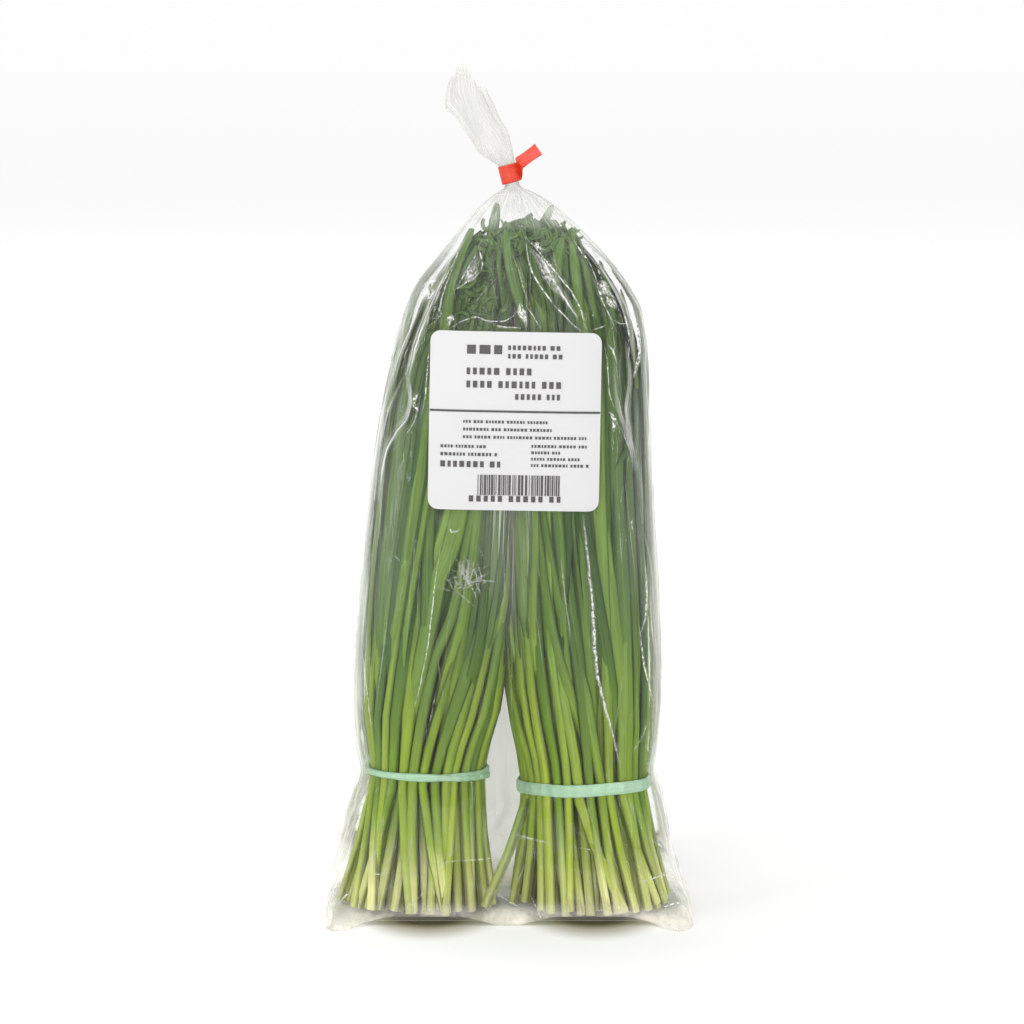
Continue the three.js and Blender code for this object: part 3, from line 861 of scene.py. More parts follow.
def paths_of(bunch, strands):
    """The middles of every strand's rings, one row of points each."""
    foot, tip, waist = strands["foot"][:, None], strands["tip"][:, None], bunch["waist"]
    rise = np.array(STALK_RISE)
    below_band = foot + (waist - HELD - foot) * rise
    above_band = waist + HELD + (tip - waist - HELD) * np.array(LEAF_RISE)
    leaf_steps = np.linspace(0, 1, len(STALK_RISE) + len(LEAF_RISE)) ** 0.86
    leaves = foot + (tip - foot) * leaf_steps
    z = np.where(strands["stalk"][:, None], np.hstack([below_band, above_band]), leaves)
    low = 1 - smooth_step(LOWEST_CUT, waist - HELD, z)
    high = np.clip((z - waist - HELD) / 110, 0, 1)
    far = np.clip((z - waist - HELD) / 210, 0, 1)
    column = {name: values[..., None] for name, values in strands.items() if name != "wave"}
    wave = strands["wave"][..., None]
    sway = 0.012 * np.sin(z / 60 + wave[0]) + 0.003 * np.sin(z / 27 + wave[1])
    share = column["share"] * (1 + column["splay"] * low) + (0.05 + column["reach"]) * high
    share = share + 0.01 * np.sin(z / 50 + wave[2]) * high
    angle = column["angle"] + column["splay_turn"] * low
    angle = angle + (column["drift"] + sway) * high + column["stray"] * far
    angle = angle + column["lean"] * np.clip((z - waist - HELD) / (200 - waist), 0, 1)
    buried = np.where(strands["stalk"][:, None], 0, 1 - smooth_step(4, 50, z - foot))
    share = share - 0.16 * buried
    inside = np.clip(np.cos(angle) * bunch["inward"], 0, 1) * smooth_step(70, 106, z)
    share = np.minimum(share + 0.06 * inside, 0.975 + 0.1 * inside)
    return place_in_bunch(bunch, share, angle, z)


def fold_over(points, strands):
    """Bends the tops of some strands over, as they lie where the bag's neck presses them down."""
    steps = np.diff(points, axis=1)
    lengths = np.linalg.norm(steps, axis=2, keepdims=True)
    along = np.cumsum(lengths, axis=1)
    past = along - along[:, -1:] + strands["fold_length"][:, None, None]
    bend = np.clip(past / FOLD_BEND, 0, 1) * strands["fold"][:, None, None]
    turn = strands["fold_way"]
    way = np.stack([np.cos(turn), np.sin(turn), np.zeros_like(turn)], 1)[:, None]
    heading = steps / lengths * np.cos(bend) + way * np.sin(bend)
    heading /= np.linalg.norm(heading, axis=2, keepdims=True)
    return np.concatenate([points[:, :1], points[:, :1] + np.cumsum(heading * lengths, axis=1)], axis=1)


def keep_in_bag(points, clear, room, highest=TALLEST_TIP):
    """Moves points that lie outside the bag back in, with more room towards the top for single leaves."""
    left, right, half_depth, squareness = BAG.at(np.minimum(points[..., 2], TOP_SECTION))
    clear = clear + room * smooth_step(248, 268, points[..., 2])
    centre = (left + right) / 2
    across = np.abs((points[..., 0] - centre) / ((right - left) / 2 - clear))
    through = np.abs(points[..., 1] / (half_depth - clear))
    back = np.maximum((across**squareness + through**squareness) ** (1 / squareness), 1)
    kept = points.copy()
    kept[..., 0] = centre + (points[..., 0] - centre) / back
    kept[..., 1] = points[..., 1] / back
    kept[..., 2] = np.minimum(points[..., 2], highest - 2 * np.clip(back - 1, 0, 1))
    return kept


def shape_strands(bunch, strands, points, template, settings):
    """Every corner's place, share of the width, distance across and along its strand, and how open it lies,
    which sets its painted shade.
    """
    corner = corners_of(template)
    ring = np.rint(corner[:, 2]).astype(int)
    around = np.arctan2(corner[:, 1], corner[:, 0])
    heading = np.gradient(points, axis=1)
    heading /= np.linalg.norm(heading, axis=2, keepdims=True)
    z = points[..., 2]
    centre = bunch["outline"].at(np.minimum(z, 300))[0]
    outward = np.stack([points[..., 0] - centre, points[..., 1], np.zeros_like(z)], -1)
    outward += 1e-6
    outward -= heading * np.sum(outward * heading, axis=2, keepdims=True)
    outward /= np.linalg.norm(outward, axis=2, keepdims=True)
    opened = smooth_step(bunch["waist"] - 4, 122, z)
    roll = strands["twist"][:, None] * opened + strands["turn"][:, None] * smooth_step(120, 300, z)
    sideways = np.cross(heading, outward)
    width_way = sideways * np.cos(roll)[..., None] + outward * np.sin(roll)[..., None]
    depth_way = outward * np.cos(roll)[..., None] - sideways * np.sin(roll)[..., None]
    step = np.linalg.norm(np.diff(points, axis=1), axis=2)
    along = np.concatenate([np.zeros((len(points), 1)), np.cumsum(step, axis=1)], axis=1)
    to_tip = along[:, -1:] - along
    blunt = strands["blunt"][:, None]
    taper = 0.26 + 0.3 * blunt + (0.74 - 0.3 * blunt) * np.clip(to_tip / (14 - 7 * blunt), 0, 1) ** 0.55
    taper *= 0.82 + 0.18 * smooth_step(0, 90, to_tip)
    stalk = strands["stalk"][:, None]
    stem_width = settings.stem_width / MM * (0.45 + 0.5 * strands["depth"][:, None])
    leaf_width = settings.leaf_width / MM * strands["width"][:, None]
    opening = np.where(stalk, 1, smooth_step(0, 45, along) * 0.8 + 0.2)
    broad = opened * (0.7 + 0.3 * smooth_step(90, 190, z))
    width = (stem_width + (leaf_width - stem_width) * broad) * taper * opening
    flattened = opened * (0.72 + 0.28 * smooth_step(120, 230, z))
    thick = settings.stem_depth / MM
    depth = thick + (settings.leaf_depth / MM * strands["depth"][:, None] - thick) * flattened
    depth = depth * np.clip(taper * 1.2, 0, 1) * np.where(stalk, 1, opening)
    keel = strands["keel"][:, None] * opened
    middle, wide, deep = points[:, ring], width_way[:, ring], depth_way[:, ring]
    across = np.cos(around) * width[:, ring] / 2
    through = np.sin(around) * depth[:, ring] / 2 - np.abs(across) * keel[:, ring]
    places = middle + wide * across[..., None] + deep * through[..., None]
    share_across = np.cos(around) * np.ones_like(across)
    return places, share_across, across, along[:, ring], painted_shade_openness(bunch, points)[:, ring]


def painted_shade_openness(bunch, points):
    """How little painted shade a strand gets: 1 for what lies at the outside of a bunch, or close behind
    the film at the top, and 0 deep inside.
    """
    x, y, z = np.moveaxis(points, -1, 0)
    centre, half_width, half_depth = bunch["outline"].at(z)
    outside = smooth_step(0.55, 0.92, np.hypot((x - centre) / half_width, y / half_depth))
    near_film = 1 - smooth_step(4, 18, -bag_front(x, z) - np.abs(y))
    top = smooth_step(235, 265, z)
    return outside * (1 - top) + near_film * top


def single_leaf(strands, row, **looks):
    """Makes one strand a single leaf with looks of its own."""
    for name, value in {"stalk": True, **looks}.items():
        strands[name][row] = value


def front_leaves(side, strands, points):
    """Lays the last strands along the front, where single leaves show through the film."""
    for i, (width, behind, tint, line) in enumerate(FRONT_LEAVES[side]):
        row = len(points) - 1 - i
        middle, steps = along_line(line[::-1])
        wanted = steps[-1] * np.linspace(0, 1, points.shape[1]) ** 0.9
        x, z = np.interp(wanted, steps, middle[:, 0]), np.interp(wanted, steps, middle[:, 1])
        buried = 5 * (1 - smooth_step(0, 30, wanted))
        points[row] = np.stack([x, bag_front(x, z) + behind + buried, z], -1)
        twist = 0.25 * math.sin(i * 2.4)
        single_leaf(strands, row, width=width, twist=twist, turn=0, tint=tint, blunt=width > 0.5)
    return len(FRONT_LEAVES[side])


def crumpled_leaves(side, strands, points, used):
    """Curls some short strands up where the bag's shoulders press the highest leaves down."""
    random = np.random.default_rng(BUNCHES[side]["seed"] + 60)
    for zone in CRUMPLED[side]:
        for _ in range(zone["count"]):
            used += 1
            row = len(points) - used
            x, z = random.uniform(*zone["x"]), random.uniform(*zone["z"])
            radius = random.uniform(2.6, 11)
            sweep = random.uniform(8, 18) / radius
            angle = random.uniform(0, FULL_TURN) + sweep * np.linspace(0, 1, points.shape[1])
            x = x + radius * (np.cos(angle) - np.cos(angle).mean())
            z = z + radius * 0.7 * (np.sin(angle) - np.sin(angle).mean())
            y = bag_front(x, z) + random.uniform(2.6, 7) + 1.6 * np.sin(angle * 0.7)
            points[row] = keep_in_bag(np.stack([x, y, z], -1), clear=2.4, room=0, highest=z.max())
            width, twist, tint = random.uniform(0.25, 0.58), random.normal(0, 0.7), random.uniform(0, 0.5)
            single_leaf(strands, row, width=width, twist=twist, tint=tint, blunt=0.4)


def stray_stalk(bunch, points):
    """The first stalk of the right bunch has slipped under its band and leans across the gap."""
    z = points[0, :, 2]
    foot, angle = STRAY_STALK["foot"], STRAY_STALK["angle"]
    held = place_in_bunch(bunch, 0.9, angle, np.array(float(bunch["waist"])))
    t = np.clip((z - foot) / (bunch["waist"] - HELD - foot), 0, 1)
    x = STRAY_STALK["x"] + (held[0] - STRAY_STALK["x"]) * t**0.8
    y = STRAY_STALK["y"] + (held[1] - STRAY_STALK["y"]) * t
    slipped = np.stack([x, y, z], -1)
    upper = place_in_bunch(bunch, np.full_like(z, 0.94), np.full_like(z, angle), z)
    points[0] = np.where((z < bunch["waist"])[:, None], slipped, upper)
    points[0, 0, 2] = foot


def make_bunch(side, settings):
    """One bunch as a single mesh of stalks and leaves."""
    bunch = BUNCHES[side]
    strands = grow(bunch, settings)
    # the single leaves start as further copies of the last strands, so that no grown one is taken away
    single = len(FRONT_LEAVES[side]) + sum(zone["count"] for zone in CRUMPLED[side])
    for name, values in strands.items():
        strands[name] = np.concatenate([values, values[..., -single:]], axis=-1)
    points = paths_of(bunch, strands)
    if side == "right":
        stray_stalk(bunch, points)
    points = fold_over(points, strands)
    points = keep_in_bag(points, clear=2.2, room=4.6)
    used = front_leaves(side, strands, points)
    crumpled_leaves(side, strands, points, used)
    template = tube("strand", SECTION_SIDES, points.shape[1])
    shaped = shape_strands(bunch, strands, points, template, settings)
    places, share_across, across, along, open_to_light = shaped
    mesh = copies(f"chive_bunch_{side}", template, len(points))
    put_corners(mesh, places)
    # the template's corners land on a strand as in a mirror, so its faces have to be turned outwards
    mesh.flip_normals()
    count = places.shape[1]
    number = np.repeat(np.arange(len(points)), count)
    mark(mesh, "grain", np.stack([across.reshape(-1), along.reshape(-1), number * STRAND_SHIFT], -1))
    mark(mesh, "across", share_across.reshape(-1))
    # how open each strand lies sets its painted shade
    mark(mesh, "open", open_to_light.reshape(-1))
    mark(mesh, "tint", np.repeat(strands["tint"], count))
    mark(mesh, "pale", np.repeat(strands["pale"], count))
    smooth(mesh, 62)
    mesh.materials.append(bpy.data.materials["chive_green"])
    return link(f"chive_bunch_{side}", mesh)


class CHIVES_OT_bunches(bpy.types.Operator):
    """Makes the two bunches of stalks and leaves"""

    bl_idname = "chives.bunches"
    bl_label = "Bunches"

    def execute(self, context):
        settings = context.scene.chive_bag.chives
        finish_chives(settings)
        for side in BUNCHES:
            piece = make_bunch(side, settings)
            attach(piece, "root")
            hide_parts(f"chives_{side}")
        return {"FINISHED"}


# --- rubber bands ----------------------------------------------------------------------------------

# Turns of each band: height of the strip, how far its middle rides up, its tilt from left to right,
# how much it wanders up and down, the angle where it does, and how far it stands off the stalks.
BAND_TURNS = {
    "left": [(3.1, 0.9, -0.02, 1.1, 0.4, 0.35), (2.9, -0.9, -0.03, 1.2, 3.4, 0.75)],
    "right": [(5.6, 0, 0.024, 0.25, 1.0, 0.35)],
}
BAND_STEPS = 168  # faces round a band
BAND_ROUND = 100  # radius of the ring that each turn is made as, before it takes the bunch's outline
BAND_TIP = 0.07  # how much higher the front of a band sits, against its distance from the middle


def make_band(side, settings):
    """The rubber band of one bunch, with its turns in one mesh."""
    bunch = BUNCHES[side]
    wall = settings.band_wall / MM
    centre, half_width, half_depth = bunch["outline"].at(np.array(bunch["waist"]))
    whole = bmesh.new()
    for height, rise, tilt, wander, phase, off in BAND_TURNS[side]:
        shape = bmesh.new()
        bmesh.ops.create_cone(
            shape, cap_ends=False, segments=BAND_STEPS, radius1=BAND_ROUND, radius2=BAND_ROUND, depth=height
        )
        upright = [e for e in shape.edges if abs(e.verts[0].co.z - e.verts[1].co.z) > height / 2]
        bmesh.ops.subdivide_edges(shape, edges=upright, cuts=5, use_grid_fill=True)
        bmesh.ops.solidify(shape, geom=shape.faces[:], thickness=-wall)
        for corner in shape.verts:
            angle = math.atan2(corner.co.y, corner.co.x)
            deep = math.hypot(corner.co.x, corner.co.y) - BAND_ROUND
            up = corner.co.z
            edge = max(0, abs(up) / (height / 2) - 0.6) / 0.4
            deep = deep * (1 - 0.5 * edge**2) + 0.2 * (1 - edge)
            bulges = 0.22 * math.cos(angle * 34 + phase) + 0.12 * math.cos(angle * 13)
            reach = off + deep + bulges
            x = (half_width + reach) * math.cos(angle)
            y = (half_depth + reach) * math.sin(angle)
            z = bunch["waist"] + rise + tilt * x - BAND_TIP * y
            z = z + wander * math.sin(angle + phase) + 0.2 * math.sin(angle * 5 + phase) + up
            corner.co = Vector((centre + x, y, z)) * MM
        bmesh.ops.recalc_face_normals(shape, faces=shape.faces)
        part = mesh_of(shape, "band_turn")
        whole.from_mesh(part)
        bpy.data.meshes.remove(part)
    mesh = mesh_of(whole, f"rubber_band_{side}_strip")
    x, y, z = (corners_of(mesh) / MM).T
    angle = np.arctan2(y / half_depth, (x - centre) / half_width)
    mark(mesh, "grain", np.stack([angle * half_width, z, np.hypot(x - centre, y)], -1))
    smooth(mesh, 50)
    mesh.materials.append(bpy.data.materials["mint_rubber"])
    return link(f"rubber_band_{side}_strip", mesh)


class CHIVES_OT_rubber_bands(bpy.types.Operator):
    """Makes the rubber band round each bunch"""

    bl_idname = "chives.rubber_bands"
    bl_label = "Rubber bands"

    def execute(self, context):
        settings = context.scene.chive_bag.ties
        finish_rubber(settings)
        for side in BUNCHES:
            piece = make_band(side, settings)
            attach(piece, "root")
            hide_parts(f"rubber_band_{side}")
        return {"FINISHED"}


# --- film bag --------------------------------------------------------------------------------------

UNDER_ROWS = 22  # rows of film under the base, out from the seam
TUFT_ROWS = 32  # rows of film from the middle of the tape up to the mouth
TUFT_FOOT = 330
PERIMETER = 430  # the way round the bag, along which places round it are given
FINE_STEPS = 1441  # points round a section before they are spaced evenly
PLEAT_COUNT = 40  # gathers that run down from the neck
SWELL = 1.9  # how far a gather stands out
STAND_OUT = 0.5  # creases stand out freely up to this, and by 0.3 of what is past it
LOWEST_DENT = {"front": -1.3, "elsewhere": -3.0}  # how far in the film may be pressed
LABEL_CALM = (0.5, 8.5)  # how far off the label the film begins to crease, and creases fully
# How much higher or lower the mouth's edge is cut, from left to right across the tuft.
MOUTH_CUT = {"x": [-28.5, -21, -18.5, -14, -10.5], "step": [-9, 1.5, -0.5, -8, -10]}
# Creases pressed into the film: how many, heights, lengths, widths, depths and lean from upright.
PRESSED_CREASES = [
    (170, (40, 285), (25, 110), (2.2, 7), (0.25, 0.9), 0.16),
    (90, (225, 318), (14, 50), (2, 5), (0.3, 1.0), 0.35),
    (130, (0, 52), (10, 36), (2, 6), (0.3, 1.1), 1.0),
    (60, (50, 85), (8, 26), (1.6, 4), (0.2, 0.6), 1.4),
]


def crease_field(around, z, random):
    """How far the film stands out at each point, from sharp creases strewn over it."""
    total = np.zeros_like(z)
    for count, heights, lengths, widths, depths, leaning in PRESSED_CREASES:
        for _ in range(count):
            place = random.uniform(0, PERIMETER)
            height = random.uniform(*heights)
            lean = random.normal(0, leaning)
            long = random.uniform(*lengths) / 2
            wide = random.uniform(*widths)
            deep = random.uniform(*depths) * random.choice([1, 1, -0.6])
            aside = (around - place + PERIMETER / 2) % PERIMETER - PERIMETER / 2
            up = z - height
            near = (np.abs(aside) < long + wide) & (np.abs(up) < long + wide)
            aside, up = aside[near], up[near]
            off = aside * math.cos(lean) - up * math.sin(lean)
            on = aside * math.sin(lean) + up * math.cos(lean)
            off = off + 1.2 * np.sin(on / 9 + place)
            window = np.clip(1 - (on / long) ** 2, 0, 1) ** 1.5
            total[near] += deep * np.clip(1 - np.abs(off) / wide, 0, 1) * window
    return total


def gather_field(around, z, random):
    """How strongly the film is gathered at each point, in pleats that run down from the neck."""
    gather = np.zeros_like(z)
    for i in range(PLEAT_COUNT):
        place = PERIMETER * (i + random.uniform(-0.3, 0.3)) / PLEAT_COUNT
        wide = PERIMETER / PLEAT_COUNT * random.uniform(0.3, 0.62)
        bend = random.normal(0, 4)
        off = around - place - bend * (1 - smooth_step(250, 330, z))
        off = (off + PERIMETER / 2) % PERIMETER - PERIMETER / 2
        depth = random.uniform(0.5, 1.0)
        foot = random.uniform(236, 292)
        size = smooth_step(foot, 320, z) * depth * (1 - 0.85 * smooth_step(NECK_TOP, 350, z))
        gather += size * np.clip(1 - np.abs(off) / wide, 0, 1)
    return gather


def bag_sections(heights, count):
    """Evenly spaced points round the bag's outline at each height."""
    left, right, half_depth, squareness = (column[:, None] for column in BAG.at(heights))
    fine = np.linspace(0, FULL_TURN, FINE_STEPS)[None]
    cos, sin = np.cos(fine), np.sin(fine)
    x = (left + right) / 2 + (right - left) / 2 * np.sign(cos) * np.abs(cos) ** (2 / squareness)
    y = half_depth * np.sign(sin) * np.abs(sin) ** (2 / squareness)
    travelled = np.hypot(np.diff(x, axis=1), np.diff(y, axis=1)).cumsum(axis=1)
    travelled = np.hstack([np.zeros((len(heights), 1)), travelled])
    share = np.linspace(0, 1, count + 1)
    made = np.empty((len(heights), count + 1, 2))
    for row in range(len(heights)):
        wanted = share * travelled[row, -1]
        made[row, :, 0] = np.interp(wanted, travelled[row], x[row])
        made[row, :, 1] = np.interp(wanted, travelled[row], y[row])
    return made


def film_heights(settings):
    """Heights of the film's rows of points, from the base's rim to the mouth."""
    side = np.linspace(0, TUFT_FOOT, settings.up_side)
    return np.concatenate([side, np.linspace(TUFT_FOOT, MOUTH, TUFT_ROWS + 1)[1:]])


def off_label(label, x, z):
    """How far points lie off the label's edges, as seen from the front, and less than 0 on it."""
    beside = np.abs(x - label.across / MM) - label.width / MM / 2
    level = np.abs(z - label.up / MM) - label.height / MM / 2
    return np.maximum(beside, level)


def film_points(settings, label):
    """The film's grid of points, and how creased and how loose it is at each of them."""
    random = np.random.default_rng(41)
    count = settings.around
    heights = film_heights(settings)
    outline = bag_sections(heights, count)
    front = outline[..., 1] < 0
    z = heights[:, None] * np.ones(count + 1)
    normal = np.stack([np.gradient(outline[..., 1], axis=1), -np.gradient(outline[..., 0], axis=1)], -1)
    normal[:, [0, -1]] = (normal[:, [0]] + normal[:, [-1]]) / 2
    normal /= np.linalg.norm(normal, axis=2, keepdims=True) + 1e-9
    around = np.linspace(0, PERIMETER, count + 1)[None] * np.ones_like(z)
    out = crease_field(around, z, random) * (1 - smooth_step(314, 328, z))
    gather = gather_field(around, z, random)
    swell = SWELL * (1 - 0.6 * smooth_step(315, TUFT_FOOT, z))
    out = np.where(out > STAND_OUT, STAND_OUT + 0.3 * (out - STAND_OUT), out)
    out += (gather - 0.8 * smooth_step(280, 320, z)) * swell
    waves = 1.1 * np.sin(around / 18 + 0.4) + 0.6 * np.sin(around / 9.5 + z / 30)
    out += waves * smooth_step(NECK_TOP, 356, z)
    out = np.maximum(out, np.where(front & (z < 312), LOWEST_DENT["front"], LOWEST_DENT["elsewhere"]))
    creased = smooth_step(*LABEL_CALM, off_label(label, outline[..., 0], z))
    out *= 1 - (1 - creased) * front * 0.96
    out *= smooth_step(0, 6, z) * 0.7 + 0.3
    points = np.concatenate([outline + normal * out[..., None], z[..., None]], axis=-1)
    for bunch in BUNCHES.values():
        points = clear_of(points, bunch)
    # the bag's bottom corners stand out as ears, and its edge lifts a little between them
    ear = (1 - smooth_step(0, 24, z)) * smooth_step(62, 80, np.abs(points[..., 0]))
    points[..., 1] *= 1 + np.where(points[..., 1] < 0, 0.4, 0.15) * ear
    points[..., 2] += lifted(points) * (1 - smooth_step(0, 16, z))
    step = np.interp(points[..., 0], MOUTH_CUT["x"], MOUTH_CUT["step"])
    rough = 1.2 * np.sin(around / 7) + 0.6 * np.sin(around / 3.1)
    points[..., 2] += smooth_step(350, MOUTH, z) * (step + rough)
    crease = np.abs(np.gradient(np.gradient(out, axis=1), axis=1)) * 2 * smooth_step(250, 330, z)
    crease += smooth_step(312, 331, z) * 0.9 + smooth_step(NECK_TOP, 350, z) * 0.3
    return points, np.clip(crease, 0, 2.6), looseness(points)


def lifted(points):
    """How far the base's front and back edges lift between the bag's corners and its middle."""
    window = 1 - smooth_step(14, 36, np.abs(np.abs(points[..., 0]) - 37))
    return 4.2 * smooth_step(33, 42, np.abs(points[..., 1])) * window


def looseness(points):
    """Near 0 where a bunch lies close behind the film, and near 1 where it hangs beside or above them."""
    x, y, z = np.moveaxis(points, -1, 0)
    gap = np.full(z.shape, np.inf)
    for bunch in BUNCHES.values():
        centre, half_width, _ = bunch["outline"].at(z)
        gap = np.minimum(gap, np.abs(x - centre) - half_width)
    above = 0.95 * smooth_step(308, 321, z)
    beside = smooth_step(-2, 3, gap) * (1 - 0.6 * smooth_step(275, 300, z))
    beside *= 0.12 + 0.88 * smooth_step(12, 26, np.abs(x))
    veil = 0.3 * smooth_step(-18, -2, gap) * smooth_step(110, 190, z)
    veil *= 1 - 0.8 * smooth_step(215, 255, z)
    side_wall = (1 - smooth_step(16, 27, np.abs(y))) * smooth_step(95, 125, z)
    return np.maximum(np.maximum(beside, veil) * (1 - 0.55 * side_wall), above)


def gap_shade_share(points):
    """1 at the back of the bag where it shows through the gap between the bunches, where the film gets
    painted shade.
    """
    x, y, z = np.moveaxis(points, -1, 0)
    half_gap = np.interp(z, [0, 30, 57, 80, 105], [8, 11, 14, 9, 0])
    aside = np.abs(x - np.interp(z, [0, 60, 110], [-2.5, -3, -0.5]))
    return (1 - smooth_step(half_gap, half_gap + 8, aside)) * (1 - smooth_step(92, 112, z)) * (y > 0)


def clear_of(points, bunch, clear=0.7):
    """Pushes film that would cut into a bunch out of it."""
    centre, half_width, half_depth = bunch["outline"].at(points[..., 2])
    wide, deep = half_width * 0.985 + clear, half_depth * 0.985 + clear
    x, y = (points[..., 0] - centre) / wide, points[..., 1] / deep
    reach = np.hypot(x, y)
    push = np.where((reach < 1) & (reach > 0.3) & (points[..., 2] < 318), 1 / np.maximum(reach, 0.3), 1)
    points = points.copy()
    points[..., 0] = centre + (points[..., 0] - centre) * push
    points[..., 1] *= push
    return points


def under_points(rim):
    """The film under the base, from the seam along its middle out to the rim of the side."""
    rows = np.repeat(rim[None], UNDER_ROWS, axis=0)
    rows[..., 1] *= np.arange(UNDER_ROWS)[:, None] / UNDER_ROWS
    rows[..., 2] = lifted(rows)
    return rows


